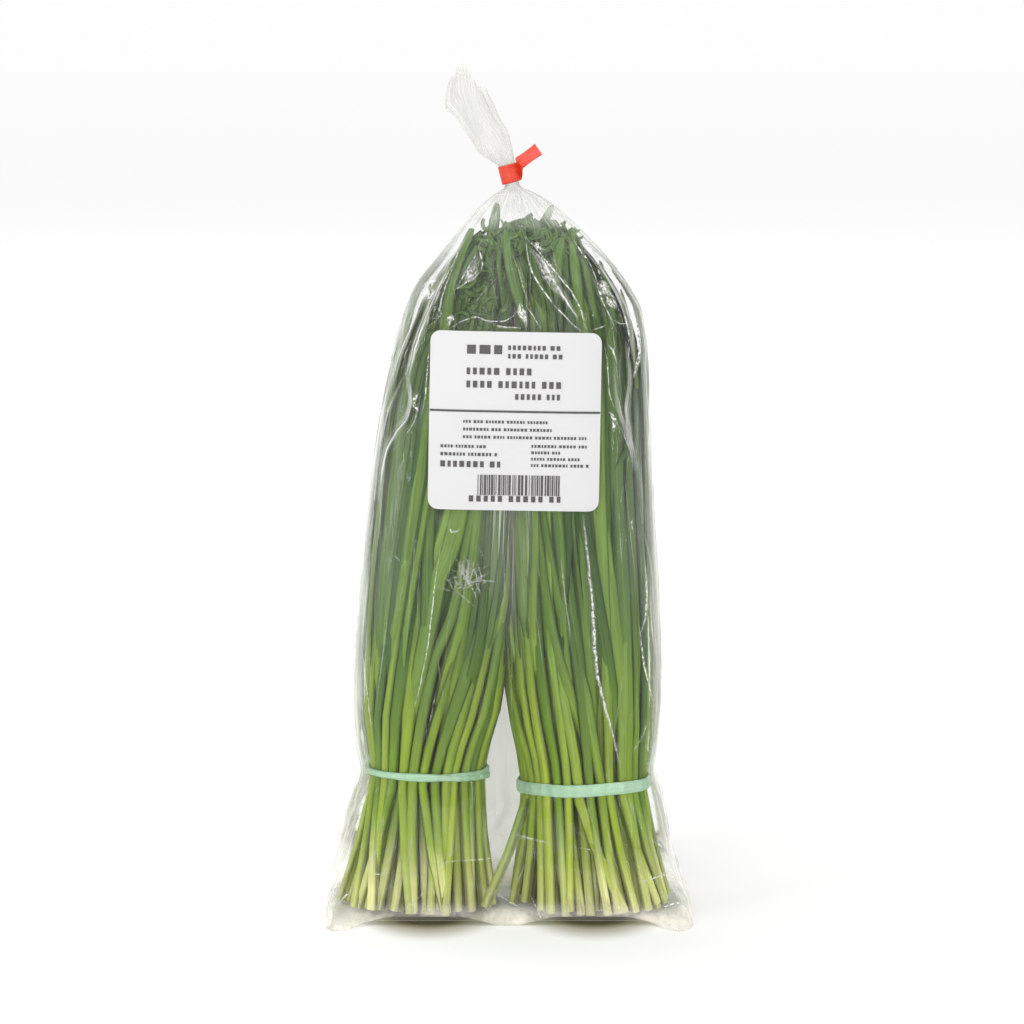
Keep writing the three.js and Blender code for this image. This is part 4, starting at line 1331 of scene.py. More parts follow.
# the creases' whiteness is partly painted highlight
# Creases of the front, as whiteness, width, how filled they are, and x and z of the points along them.
CREASE_LINES = [
    (1, 4.4, 0, [(33, 185.5), (35, 169), (37.5, 141.5), (39.5, 114), (43, 99), (47, 84), (50, 70.5)]),
    (0.9, 1.5, 0, [(-30, 172), (-32.5, 156), (-35, 133.5), (-39, 110.5), (-43, 94.5)]),
    (1, 2.2, 0, [(7.5, 308), (9, 297), (16, 284), (24, 274.5), (31.5, 267.5), (35, 266)]),
    (1, 2, 0, [(7.5, 308), (14, 301), (21, 292.5), (28, 284), (32.5, 275), (35, 266)]),
    (0.5, 9, 0.7, [(9.5, 303.5), (16.5, 294), (22, 285.5), (27.5, 278), (31.5, 270)]),
    (0.8, 2.6, 0.3, [(11, 302), (16.5, 296), (20, 289), (25.5, 280.5), (31, 272.5)]),
    (1, 1.6, 0, [(-24, 284.5), (-19, 293), (-13, 303)]),
    (0.9, 1.6, 0, [(-24, 284.5), (-18, 288.5), (-12.5, 292.5)]),
    (0.9, 1.8, 0, [(-13, 303), (-12, 297), (-12.5, 292.5)]),
    (0.55, 9, 0.8, [(-19.5, 287), (-16, 293.5), (-14, 299.5)]),
    (1, 1.5, 0,
     [(-26, 267.5), (-20, 271.5), (-14, 273), (-10, 271.5), (-3.5, 271), (1.5, 273), (5.5, 278)]),
    (0.9, 1.4, 0, [(-10, 271.5), (-4.5, 269), (1.5, 268.5), (7, 268)]),
    (1, 5.5, 0.8, [(5, 279.5), (6, 275), (7.5, 271), (8, 267.5)]),
    (0.9, 1.2, 0, [(8, 278), (11.5, 272.5), (14.5, 267.5)]),
    (1, 4, 0.9, [(11.5, 305.5), (14, 303), (16.5, 302)]),
    (1, 5, 0.9, [(34, 304.5), (37.5, 301), (40, 298)]),
    (1, 7, 0.9, [(41, 288.5), (43.5, 284.5), (46, 281.5)]),
    (1, 5.5, 0.9, [(44, 280), (46.5, 278.5), (48.5, 276)]),
    (0.9, 3, 0.6, [(42, 283.5), (44.5, 281), (43.5, 277.5)]),
    (0.9, 1.6, 0, [(25.5, 312), (29.5, 306), (36.5, 295.5), (40.5, 284.5), (45, 273.5), (48.5, 265)]),
    (0.8, 1.5, 0,
     [(34.5, 306), (40, 299.5), (46.5, 292), (50.5, 285.5), (53, 279.5), (54.5, 272), (56, 262)]),
    (0.7, 1.4, 0, [(39, 296.5), (43.5, 286.5), (48.5, 278), (51.5, 267)]),
    (1, 2, 0.2, [(-31.5, 288.5), (-36, 287.5), (-39.5, 284)]),
    (0.95, 9, 0.95, [(-33, 285), (-36.5, 282), (-38.5, 279)]),
    (0.8, 1.2, 0, [(-30.5, 290.5), (-34, 283.5), (-36.5, 274.5), (-39, 267)]),
    (0.7, 1.6, 0, [(-20.5, 306), (-25, 296.5), (-30.5, 284.5), (-34, 272)]),
    (0.8, 1.3, 0, [(-19, 309.5), (-23.5, 299), (-27.5, 288), (-30.5, 277.5), (-33, 267)]),
    (0.7, 1.2, 0, [(0.5, 302), (4.5, 293.5), (7, 284.5), (9.5, 278)]),
    (0.9, 5, 0.8, [(-25, 274), (-26, 271), (-26.5, 268.5)]),
    (0.8, 1.2, 0, [(-33, 277.5), (-30, 274.5), (-32, 272), (-35.5, 272)]),
    (0.9, 1.3, 0, [(37, 267), (41.5, 268.5), (44, 269.5)]),
    (1, 3.6, 0.4, [(55.5, 274.5), (57.5, 266.5), (58, 257.5), (57, 250.5), (55.5, 245.5)]),
    (0.8, 1.6, 0, [(49.5, 280), (52.5, 270.5), (53.5, 260), (52.5, 251)]),
    (0.9, 1.2, 0, [(46, 272), (50.5, 269.5), (55.5, 269.5)]),
    (0.85, 1.4, 0, [(42.5, 260.5), (44, 251.5), (44.5, 240.5), (47.5, 231.5)]),
    (0.9, 2, 0.2, [(43.5, 261), (46, 258.5), (48, 253)]),
    (1, 3.4, 0.5, [(44.5, 231), (47, 227.5), (46.5, 222)]),
    (0.7, 1.3, 0, [(47, 227.5), (51.5, 220), (55, 210)]),
    (0.8, 1.4, 0, [(-35, 260.5), (-36, 249.5), (-37, 237), (-39, 227.5)]),
    (0.9, 3, 0.5, [(-40, 239.5), (-42, 235), (-40, 231)]),
    (0.7, 1.2, 0, [(-39, 238.5), (-41.5, 227.5), (-46.5, 219)]),
    (0.3, 8, 0.8, [(-22, 165), (-19, 158), (-15.5, 152)]),
    (0.8, 0.9, 0, [(-24, 167), (-20, 159), (-15, 150), (-13, 144)]),
    (0.8, 0.8, 0, [(-17, 168), (-18, 160), (-20, 150), (-20.5, 145)]),
    (0.8, 0.8, 0, [(-25, 152), (-20, 157), (-13, 162), (-9, 162.5)]),
    (0.7, 0.7, 0, [(-26, 161), (-19, 158.5), (-11, 155)]),
    (0.7, 0.8, 0, [(-14, 165), (-12, 158), (-8, 151)]),
    (0.7, 0.7, 0, [(-27, 156), (-21, 154), (-14, 156), (-10, 159)]),
    (0.7, 0.7, 0, [(-21, 167.5), (-16, 163), (-14, 156), (-15, 147)]),
    (0.9, 2.4, 0, [(-27.5, 181.5), (-24.5, 177.5), (-21.5, 179.5)]),
    (1, 1.6, 0, [(56, 183), (54.5, 180.5), (56, 176.5)]),
    (0.45, 1.6, 0, [(23, 168.5), (25.5, 147), (28, 129)]),
    (0.5, 1.3, 0, [(-32.5, 106), (-34.5, 94.5), (-38, 83)]),
    (0.8, 2.4, 0.2, [(61, 163.5), (61.5, 152), (61.5, 140), (59.5, 131)]),
    (0.9, 1.6, 0.2, [(58.5, 134.5), (60.5, 118), (65, 99)]),
    (0.9, 1.8, 0, [(63, 90), (59.5, 82.5), (56, 76)]),
    (1, 1, 0, [(61.5, 78.5), (63, 76), (64, 74.5)]),
    (0.8, 1.1, 0, [(-31, 28), (-22.5, 29), (-13.5, 29.5), (-5, 30.5)]),
    (0.6, 1.6, 0, [(-66, 122), (-63.5, 104), (-61.5, 86)]),
    (0.7, 1.4, 0, [(-77, 8.5), (-74, 12.5), (-69, 16)]),
    (0.8, 1.6, 0, [(68.5, 7.5), (75, 10), (80.5, 9)]),
    (0.8, 1.4, 0, [(70, 3), (76, 1), (80.5, 2)]),
    (0.6, 5, 0.5, [(-82.5, 9), (-80, 7), (-80.5, 0.5)]),
]
# the creases' whiteness is partly painted highlight
# Fine creases strewn all round: how many, heights, lengths, widths, whiteness and lean from upright.
STREWN_CREASES = [
    (150, (40, 290), (8, 60), (0.5, 1.3), (0.1, 0.5), 0.13),
    (70, (255, 318), (8, 34), (0.5, 1.4), (0.2, 0.7), 0.35),
    (90, (2, 45), (6, 26), (0.6, 1.8), (0.2, 0.75), 1.1),
    (46, (50, 300), (2, 6), (0.6, 1.6), (0.4, 0.9), 1.2),
]
# the streaks' whiteness is partly painted highlight
# Broad milky folds with fine lines along them: whiteness, width, and x and z of the points along them.
STREAKS = [
    (0.75, 5,
     [(-26, 299), (-30, 289), (-33.5, 280.5), (-37, 272),
      (-40, 264), (-43, 254), (-44.5, 246), (-43.5, 236.5)]),
    (0.7, 4.4,
     [(-44.5, 246), (-43.5, 236.5), (-45.5, 228.5), (-51, 220.5),
      (-54.5, 212.5), (-56, 204.5), (-58, 190)]),
    (0.6, 3, [(-46.5, 246), (-50.5, 237.5), (-53.5, 229.5), (-55.5, 220), (-57, 209.5), (-60, 190)]),
    (0.5, 3.4, [(-39, 281), (-43.5, 268), (-48.5, 254), (-53, 238)]),
    (0.55, 4, [(30, 309), (37, 300), (44, 291), (50, 281), (54, 268), (56, 252)]),
    (0.5, 3.6, [(52, 262), (54, 246), (52.5, 232), (55, 216), (58.5, 198), (60, 180)]),
    (0.45, 2.6, [(46.5, 250), (48, 236), (52, 222), (56, 204)]),
    (0.4, 2.4, [(-60, 186), (-62.5, 166), (-64, 144), (-66.5, 118)]),
    (0.5, 2.8, [(60.5, 176), (63.5, 158), (64.5, 136), (67, 112)]),
    (0.4, 3, [(-17, 311), (-24, 301), (-31, 290)]),
]
HAIRS = {"count": 34, "middle": (-18, 157), "spread": 4, "length": (5, 17)}  # a burst of fine cracks
RIBBON_TOP = 328  # creases end below the tape
RIBBON_SHARES = np.linspace(-1, 1, 5)  # the rows of corners across a crease
RIBBON_SHIFT = 9.7  # moves the sparkles' pattern on from one crease to the next


def crease_ribbons(random):
    """Every crease as its whiteness, width, filling, points, whether those are x and z, and streakiness."""
    ribbons = []
    for count, heights, lengths, widths, strengths, lean in STREWN_CREASES:
        for _ in range(count):
            z = random.uniform(*heights)
            at = random.uniform(0, PERIMETER)
            tilt = random.normal(0, lean)
            half = random.uniform(*lengths) / 2
            bow = random.normal(0, 0.06) * half
            aside, up = half * math.sin(tilt), half * math.cos(tilt)
            line = [(at - aside, z - up), (at + bow, z), (at + aside, z + up)]
            ribbons.append((random.uniform(*strengths), random.uniform(*widths), 0, line, False, 0))
    for _ in range(HAIRS["count"]):
        middle = np.array(HAIRS["middle"]) + random.normal(0, HAIRS["spread"], 2)
        angle = random.uniform(0, FULL_TURN)
        reach = np.array([math.cos(angle), math.sin(angle)]) * random.uniform(*HAIRS["length"]) / 2
        bow = random.normal(0, 0.8, 2)
        line = [tuple(middle - reach), tuple(middle + bow), tuple(middle + reach)]
        ribbons.append((random.uniform(0.2, 0.6), random.uniform(0.5, 1.4), 0, line, True, 0))
    ribbons += [(white, wide, 0.6, line, True, 1) for white, wide, line in STREAKS]
    return ribbons + [(*crease, True, 0) for crease in CREASE_LINES]


def on_film(film, heights, flat, by_x):
    """Places on the film, and which way is out, from heights and either x at the front or the way round."""
    row = np.interp(np.clip(flat[..., 1], 0.5, RIBBON_TOP), heights, np.arange(len(heights)))
    low = np.minimum(row.astype(int), len(heights) - 2)
    part = (row - low)[..., None]
    if by_x:
        front = np.arange(film.shape[1] // 2, film.shape[1])
        find = np.vectorize(lambda film_row, x: np.interp(x, film[film_row, front, 0], front))
        column = find(low, flat[..., 0])
    else:
        column = (flat[..., 0] % PERIMETER) / PERIMETER * (film.shape[1] - 1)
    left = np.minimum(column.astype(int), film.shape[1] - 2)
    over = (column - left)[..., None]
    where = (
        film[low, left] * (1 - part) * (1 - over)
        + film[low, left + 1] * (1 - part) * over
        + film[low + 1, left] * part * (1 - over)
        + film[low + 1, left + 1] * part * over
    )
    away = film[low, left + 1] - film[low, left]
    outward = np.stack([away[..., 1], -away[..., 0]], -1)
    return where, outward / (np.linalg.norm(outward, axis=-1, keepdims=True) + 1e-9)


def make_creases(film, settings, label):
    """Narrow strips of sharply creased film that lie on the bag, whitened partly as painted highlight."""
    random = np.random.default_rng(23)
    heights = film_heights(settings)
    shape = bmesh.new()
    placed = []
    marks = {name: [] for name in ("grain", "across", "strength", "fill", "streak")}
    for number, (white, wide, fill, line, by_x, streaky) in enumerate(crease_ribbons(random)):
        middle, steps = along_line(line)
        ahead = np.gradient(middle, axis=0)
        ahead /= np.linalg.norm(ahead, axis=1, keepdims=True)
        aside = np.stack([-ahead[:, 1], ahead[:, 0]], -1)
        travelled = np.linspace(0, 1, len(steps))
        ends = np.sin((0.03 + 0.94 * travelled) * math.pi) ** 0.5
        if fill > 0.5 and not streaky:
            ends = np.minimum(0.12 + travelled * 2.6, 0.1 + (1 - travelled) * 1.4)
        off = RIBBON_SHARES[None, :, None] * wide / 2 * ends[:, None, None]
        where, outward = on_film(film, heights, middle[:, None] + aside[:, None] * off, by_x)
        ridge = 0.15 + 0.5 * (1 - np.abs(RIBBON_SHARES))[None] * ends[:, None] * min(1, wide / 2)
        where[..., :2] += outward * ridge[..., None]
        near_label = (off_label(label, where[..., 0], where[..., 2]) < 2) & (where[..., 1] < 0)
        if not by_x and np.any(near_label):
            continue
        strip = bmesh.ops.create_grid(shape, x_segments=len(steps) - 1, y_segments=4, size=0.5)["verts"]
        along = np.array([round((v.co.x + 0.5) * (len(steps) - 1)) for v in strip])
        across = np.array([round((v.co.y + 0.5) * 4) for v in strip])
        share_across, each = RIBBON_SHARES[across], np.ones(len(along))
        shift = each * number * RIBBON_SHIFT
        placed.append(where[along, across])
        marks["grain"].append(np.stack([share_across * wide / 2, steps[along], shift], -1))
        marks["across"].append(share_across)
        marks["strength"].append(white * ends[along])
        marks["fill"].append(each * fill)
        marks["streak"].append(each * streaky)
    mesh = mesh_of(shape, "film_creases")
    put_corners(mesh, np.concatenate(placed))
    for name, values in marks.items():
        mark(mesh, name, np.concatenate(values))
    mesh.shade_smooth()
    mesh.materials.append(bpy.data.materials["crease_highlight_film"])
    return link("film_creases", mesh)


def make_film(side, crease, loose):
    """The bag's whole film, under the base and up the side to the mouth, from its side's grid of points."""
    under = under_points(side[0])
    flat = np.ones(under.shape[:2])
    corner = smooth_step(60, 70, np.abs(under[..., 0]))
    marks = {
        "crease": np.concatenate([flat * 0.05, crease]),
        "loose": np.concatenate([0.03 + 0.37 * corner, loose]),
        "base": np.concatenate([flat * 0.04, 1 - smooth_step(2, 12, side[..., 2])]),
        "gap_shade": np.concatenate([flat * 0, gap_shade_share(side)]),
    }
    points = np.concatenate([under, side])
    rows, columns = points.shape[:2]
    shape = bmesh.new()
    bmesh.ops.create_grid(shape, x_segments=columns - 1, y_segments=rows - 1, size=0.5)
    sheet = mesh_of(shape, "film")
    place = corners_of(sheet)
    column = np.rint((place[:, 0] + 0.5) * (columns - 1)).astype(int)
    row = np.rint((place[:, 1] + 0.5) * (rows - 1)).astype(int)
    put_corners(sheet, points[row, column])
    for name, values in marks.items():
        mark(sheet, name, values[row, column])
    mark(sheet, "along", np.stack([column * PERIMETER / columns, points[row, column, 2], 0 * row], -1))
    shape = bmesh.new()
    shape.from_mesh(sheet)
    bmesh.ops.remove_doubles(shape, verts=shape.verts, dist=0.02 * MM)
    bpy.data.meshes.remove(sheet)
    mesh = mesh_of(shape, "film_bag_sheet")
    mesh.shade_smooth()
    mesh.materials.append(bpy.data.materials["clear_film"])
    return link("film_bag_sheet", mesh)


class CHIVES_OT_film_bag(bpy.types.Operator):
    """Makes the clear film bag and its sharp creases"""

    bl_idname = "chives.film_bag"
    bl_label = "Film bag"

    def execute(self, context):
        settings, label = context.scene.chive_bag.film, context.scene.chive_bag.label
        finish_film(settings)
        finish_crease_highlight(settings)
        side, crease, loose = film_points(settings, label)
        for piece in (make_film(side, crease, loose), make_creases(side, settings, label)):
            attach(piece, "root")
            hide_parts("film_bag")
        return {"FINISHED"}


# --- label -----------------------------------------------------------------------------------------

LABEL_OFF = 0.75  # from the bag's smooth front to the paper
LABEL_WALL = 0.15  # thickness of the paper
LABEL_CUTS = 28  # strips that the flat label is cut into, so that it can bend with the bag
PRINT_OFF = 0.12  # from the paper to the print
# Lines of print: left and right ends, top and height as shares of the label, and the widths of a
# line's blocks against their height.
PRINT_LINES = [
    {"left": 0.215, "right": 0.42, "top": 0.075, "tall": 0.05, "blocks": (0.9, 1.5)},
    {"left": 0.455, "right": 0.78, "top": 0.075, "tall": 0.026, "blocks": (0.5, 0.9)},
    {"left": 0.455, "right": 0.78, "top": 0.122, "tall": 0.026, "blocks": (0.5, 0.9)},
    {"left": 0.215, "right": 0.60, "top": 0.202, "tall": 0.038, "blocks": (0.45, 0.8)},
    {"left": 0.215, "right": 0.78, "top": 0.275, "tall": 0.038, "blocks": (0.45, 0.8)},
    {"left": 0.50, "right": 0.78, "top": 0.345, "tall": 0.032, "blocks": (0.45, 0.7)},
    {"left": 0.20, "right": 0.70, "top": 0.495, "tall": 0.016, "blocks": (0.5, 1.0)},
    {"left": 0.20, "right": 0.72, "top": 0.538, "tall": 0.016, "blocks": (0.5, 1.0)},
    {"left": 0.20, "right": 0.93, "top": 0.581, "tall": 0.016, "blocks": (0.5, 1.0)},
    {"left": 0.07, "right": 0.34, "top": 0.635, "tall": 0.016, "blocks": (0.5, 1.0)},
    {"left": 0.07, "right": 0.40, "top": 0.678, "tall": 0.018, "blocks": (0.5, 1.0)},
    {"left": 0.07, "right": 0.42, "top": 0.725, "tall": 0.034, "blocks": (0.5, 0.8)},
    {"left": 0.60, "right": 0.93, "top": 0.628, "tall": 0.016, "blocks": (0.5, 1.0)},
    {"left": 0.60, "right": 0.78, "top": 0.664, "tall": 0.016, "blocks": (0.5, 1.0)},
    {"left": 0.60, "right": 0.90, "top": 0.700, "tall": 0.016, "blocks": (0.5, 1.0)},
    {"left": 0.60, "right": 0.94, "top": 0.736, "tall": 0.016, "blocks": (0.5, 1.0)},
]
RULE = {"inset": 0.2, "top": 0.438, "tall": 0.012}
STRIPES = {"left": 0.29, "right": 0.775, "top": 0.80, "tall": 0.115}
STRIPE_FEET = {"left": 0.24, "right": 0.80, "top": 0.918, "tall": 0.034, "blocks": (0.6, 0.8), "gap": 0.5}


def on_label(settings, across, up, off):
    """A point of the label in the bag's frame: across and up are from its middle, off from the film."""
    cos, sin = math.cos(settings.turn), math.sin(settings.turn)
    x = settings.across / MM + across * cos - up * sin
    z = settings.up / MM + across * sin + up * cos
    wave = 0.35 * np.sin(across / 15 + 0.6) * smooth_step(5, 42, np.abs(up)) + 0.2 * np.sin(up / 19)
    return np.stack([x, bag_front(x, z) - LABEL_OFF - off + wave, z], -1)


def cut_across(shape, axis, size):
    """Cuts a flat shape into strips of one width along an axis, without parting them."""
    where, way = Vector((0, 0, 0)), Vector((0, 0, 0))
    way[axis] = 1
    for cut in range(1, LABEL_CUTS):
        where[axis] = size * (cut / LABEL_CUTS - 0.5)
        everything = [*shape.verts, *shape.edges, *shape.faces]
        bmesh.ops.bisect_plane(shape, geom=everything, plane_co=where, plane_no=way, dist=1e-4)


def make_label(settings):
    """The label's paper, cut flat with round corners and bent along the bag's front."""
    width, height = settings.width / MM, settings.height / MM
    shape = bmesh.new()
    bmesh.ops.create_grid(shape, x_segments=1, y_segments=1, size=0.5)
    bmesh.ops.scale(shape, vec=(width, height, 1), verts=shape.verts)
    bmesh.ops.bevel(
        shape,
        geom=shape.verts[:],
        offset=settings.corner / MM,
        segments=6,
        profile=0.5,
        affect="VERTICES",
        material=-1,
    )
    cut_across(shape, 0, width)
    cut_across(shape, 1, height)
    bmesh.ops.solidify(shape, geom=shape.faces[:], thickness=LABEL_WALL)
    mesh = mesh_of(shape, "label_sheet")
    flat = corners_of(mesh)
    put_corners(mesh, on_label(settings, flat[:, 0], flat[:, 1], flat[:, 2]))
    shape = bmesh.new()
    shape.from_mesh(mesh)
    bmesh.ops.recalc_face_normals(shape, faces=shape.faces)
    shape.to_mesh(mesh)
    shape.free()
    smooth(mesh, 40)
    mesh.materials.append(bpy.data.materials["label_paper"])
    return link("label_sheet", mesh)


def print_block(shape, label_size, left, top, width, height):
    """Adds one printed rectangle, flat, in the label's own millimetres."""
    corners = bmesh.ops.create_grid(shape, x_segments=1, y_segments=1, size=0.5)["verts"]
    bmesh.ops.scale(shape, vec=(width, height, 1), verts=corners)
    middle = (left + width / 2 - label_size[0] / 2, label_size[1] / 2 - top - height / 2, 0)
    bmesh.ops.translate(shape, vec=middle, verts=corners)


def make_print(settings):
    """The label's print: lines of plain blocks, a rule and stripes, just off the paper."""
    random = np.random.default_rng(17)
    size = settings.width / MM, settings.height / MM
    shape = bmesh.new()

    def line(row, gap=0.4, word=(3, 9)):
        height = row["tall"] * size[1]
        at, end = row["left"] * size[0], row["right"] * size[0]
        left_in_word = random.integers(*word)
        while at < end - height * 0.5:
            wide = height * random.uniform(*row["blocks"])
            print_block(shape, size, at, row["top"] * size[1], min(wide, end - at), height)
            at += wide + height * gap
            left_in_word -= 1
            if left_in_word == 0:
                at += height * 0.6
                left_in_word = random.integers(*word)

    for row in PRINT_LINES:
        line(row)
    line(STRIPE_FEET, gap=STRIPE_FEET["gap"], word=(5, 6))
    inset = RULE["inset"]
    print_block(shape, size, inset, RULE["top"] * size[1], size[0] - 2 * inset, RULE["tall"] * size[1])
    at = STRIPES["left"] * size[0]
    while at < STRIPES["right"] * size[0]:
        wide = random.choice([0.35, 0.35, 0.7, 1.05])
        print_block(shape, size, at, STRIPES["top"] * size[1], wide, STRIPES["tall"] * size[1])
        at += wide + random.choice([0.35, 0.35, 0.7])
    cut_across(shape, 0, size[0])
    mesh = mesh_of(shape, "label_print")
    flat = corners_of(mesh)
    put_corners(mesh, on_label(settings, flat[:, 0], flat[:, 1], LABEL_WALL / 2 + PRINT_OFF))
    mesh.materials.append(bpy.data.materials["label_ink"])
    return link("label_print", mesh)


class CHIVES_OT_label(bpy.types.Operator):
    """Makes the label and its print"""

    bl_idname = "chives.label"
    bl_label = "Label"

    def execute(self, context):
        settings = context.scene.chive_bag.label
        finish_paper(settings)
        finish_ink(settings)
        for piece in (make_label(settings), make_print(settings)):
            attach(piece, "root")
            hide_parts("label")
        return {"FINISHED"}


# --- closing tape ----------------------------------------------------------------------------------

TAB_LENGTH = 12
TAB_LEAN = 0.374  # radians that the tab leans up from the loop
TAB_TWIST = 0.8  # radians that it is turned over where it leaves the loop
TAB_GAP = 0.16  # from the middle between the tab's two layers to either of them
TAPE_OFF = 0.75  # from the neck to the tape
TAPE_CORNER = 1.1  # how far to either side of the tab the loop begins
TAB_UP = 3  # how much higher the tab runs than the middle of the loop
TAPE_STEPS = 120  # faces along the tape
TAPE_ACROSS = 10  # faces across it


def tape_route(radius):
    """The tape's middle line, seen along the neck: in from the tab's end, once round, and out again."""
    tab = np.linspace(TAB_LENGTH, 0, 24)
    turn = np.linspace(0, 1, 8)[1:]
    loop = np.linspace(0, 1, 60)
    start = math.asin(min(0.9, TAPE_CORNER / radius))
    inward = np.stack([radius + tab, np.full_like(tab, -TAB_GAP)], -1)
    angle = -start - (FULL_TURN - 2 * start) * loop
    round_neck = np.stack([radius * np.cos(angle), radius * np.sin(angle)], -1)
    p0, p1, p2 = inward[-1], np.array([radius * 0.98, -TAB_GAP]), round_neck[0]
    bend = (1 - turn)[:, None] ** 2 * p0 + 2 * ((1 - turn) * turn)[:, None] * p1 + turn[:, None] ** 2 * p2
    back = bend[::-1] * (1, -1)
    outward = inward[::-1] * (1, -1)
    return np.vstack([inward, bend[:-1], round_neck, back[1:], outward[1:]])


def make_tape(settings):
    """The strip of tape, folded round the neck with its two ends stuck together as a tab."""
    radius = NECK["radius"] + TAPE_OFF
    route = tape_route(radius)
    travelled = way_along(route)
    steps = np.linspace(0, travelled[-1], TAPE_STEPS + 1)
    out = np.interp(steps, travelled, route[:, 0])
    side = np.interp(steps, travelled, route[:, 1])
    shape = bmesh.new()
    bmesh.ops.create_grid(shape, x_segments=TAPE_STEPS, y_segments=TAPE_ACROSS, size=0.5)
    strip = mesh_of(shape, "tape")
    flat = corners_of(strip)
    step = np.rint((flat[:, 0] + 0.5) * TAPE_STEPS).astype(int)
    up = flat[:, 1] * settings.tape_width / MM
    x, y = out[step], side[step]
    # the tab leaves the loop leaning up, and twists as it goes
    past = np.clip(x - radius - 0.1, 0, None)
    lean = TAB_LEAN * smooth_step(0, 1.2, past)
    twist = TAB_TWIST * smooth_step(0, 1.1, past) + 0.1 * np.sin(past / 4)
    across = up * np.cos(twist)
    deep = up * np.sin(twist)
    ragged = 0.08 * np.sin(up * 2.1) * smooth_step(TAB_LENGTH - 2, TAB_LENGTH, past)
    x = x - past + (past + ragged) * np.cos(lean) - across * np.sin(lean)
    y = y * np.cos(twist) + deep
    z = (past + ragged) * np.sin(lean) + across * np.cos(lean) + TAB_UP * smooth_step(0, 1.1, past)
    cos, sin = math.cos(NECK["lean"]), math.sin(NECK["lean"])
    put_corners(strip, np.stack([x * cos - z * sin, y, x * sin + z * cos], -1) + (NECK["x"], 0, NECK["z"]))
    mark(strip, "grain", np.stack([steps[step], up, np.zeros_like(up)], -1))
    strip.shade_smooth()
    strip.materials.append(bpy.data.materials["vermilion_tape"])
    piece = link("closing_tape_strip", strip)
    wall = piece.modifiers.new("wall", "SOLIDIFY")
    wall.thickness = settings.tape_wall
    wall.offset = 0
    return piece


class CHIVES_OT_closing_tape(bpy.types.Operator):
    """Makes the tape round the neck"""

    bl_idname = "chives.closing_tape"
    bl_label = "Closing tape"

    def execute(self, context):
        settings = context.scene.chive_bag.ties
        finish_tape(settings)
        piece = make_tape(settings)
        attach(piece, "root")
        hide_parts("closing_tape")
        return {"FINISHED"}


# --- stage -----------------------------------------------------------------------------------------


def area_light(name, power, size, place, aim):
    """A soft light that faces the point it is aimed at."""
    lamp = bpy.data.lights.new(name, "AREA")
    lamp.shape = "RECTANGLE"
    lamp.size, lamp.size_y = size
    lamp.energy = power
    light = bpy.data.objects.new(name, lamp)
    light.location = place
    light.rotation_euler = (Vector(aim) - Vector(place)).to_track_quat("-Z", "Y").to_euler()
    bpy.context.scene.collection.objects.link(light)
    return light


def make_camera(settings):
    """The camera, as far off and as wide as the settings say."""
    camera = bpy.data.cameras.new("camera")
    camera.sensor_width = 36
    camera.lens = camera.sensor_width * settings.distance / settings.view_width
    camera.clip_start, camera.clip_end = 0.05, 60
    stand = bpy.data.objects.new("camera", camera)
    aim = Vector((settings.aim_across, 0, settings.aim_up))
    back = Vector((0, -math.cos(settings.elevation), math.sin(settings.elevation)))
    stand.location = aim + back * settings.distance
    stand.rotation_euler = (-back).to_track_quat("-Z", "Y").to_euler()
    bpy.context.scene.collection.objects.link(stand)
    bpy.context.scene.camera = stand


# Where the two bunches stand on the floor, round which a contact shadow is painted on it.
PAINTED_SHADOW_FOOTPRINT = {
    "middles": [(-0.036, -0.005, 0), (0.039, -0.005, 0)],
    "half_width": 0.0235,
    "half_depth": 0.041,
}
# Painted shadows round each footprint: where one begins to fade and is gone, against its size, and its
# tint.
PAINTED_FLOOR_SHADOWS = [(1.0, 1.66, (0.36, 0.32, 0.23, 1)), (0.8, 1.14, (0.2, 0.17, 0.11, 1))]
PAINTED_SHADOW_STRENGTH = 0.85


def make_floor():
    """A wide pale floor that glows a little far from the lights, so that it runs into the surround, with
    contact shadows painted round the bunches.
    """
    shape = bmesh.new()
    bmesh.ops.create_circle(shape, cap_ends=True, segments=96, radius=60)
    floor = link("floor", mesh_of(shape, "floor"))
    finish = Finish("pale_floor")
    place = finish.place()
    away = finish.vector_length(place)
    speckle = finish.noise(place, 40.0)
    shade = finish.mix(speckle * 0.1, (0.9, 0.9, 0.895, 1), (0.88, 0.88, 0.87, 1))
    # painted contact shadows on the floor round each bunch
    for middle in PAINTED_SHADOW_FOOTPRINT["middles"]:
        off = finish.node("ShaderNodeVectorMath", {"operation": "SUBTRACT"}, {0: place, 1: middle})
        flat = finish.stretched(off, (1 / PAINTED_SHADOW_FOOTPRINT["half_width"], 1 / PAINTED_SHADOW_FOOTPRINT["half_depth"], 1.0))
        reach = finish.vector_length(flat)
        for fades, gone, tint in PAINTED_FLOOR_SHADOWS:
            strength = (1 - reach.between(fades, gone)) * PAINTED_SHADOW_STRENGTH
            shade = finish.mix(strength, shade, tint, "MULTIPLY")
    far = away * away / (away * away + 4.0)
    painted_glow = finish.mix(far, (0, 0, 0, 1), (0.597, 0.597, 0.597, 1))
    matt = finish.node("ShaderNodeBsdfDiffuse", {}, {"Color": shade})
    lit = finish.node("ShaderNodeEmission", {}, {"Color": painted_glow})
    floor.data.materials.append(finish.done(finish.node("ShaderNodeAddShader", {}, {0: matt, 1: lit})))


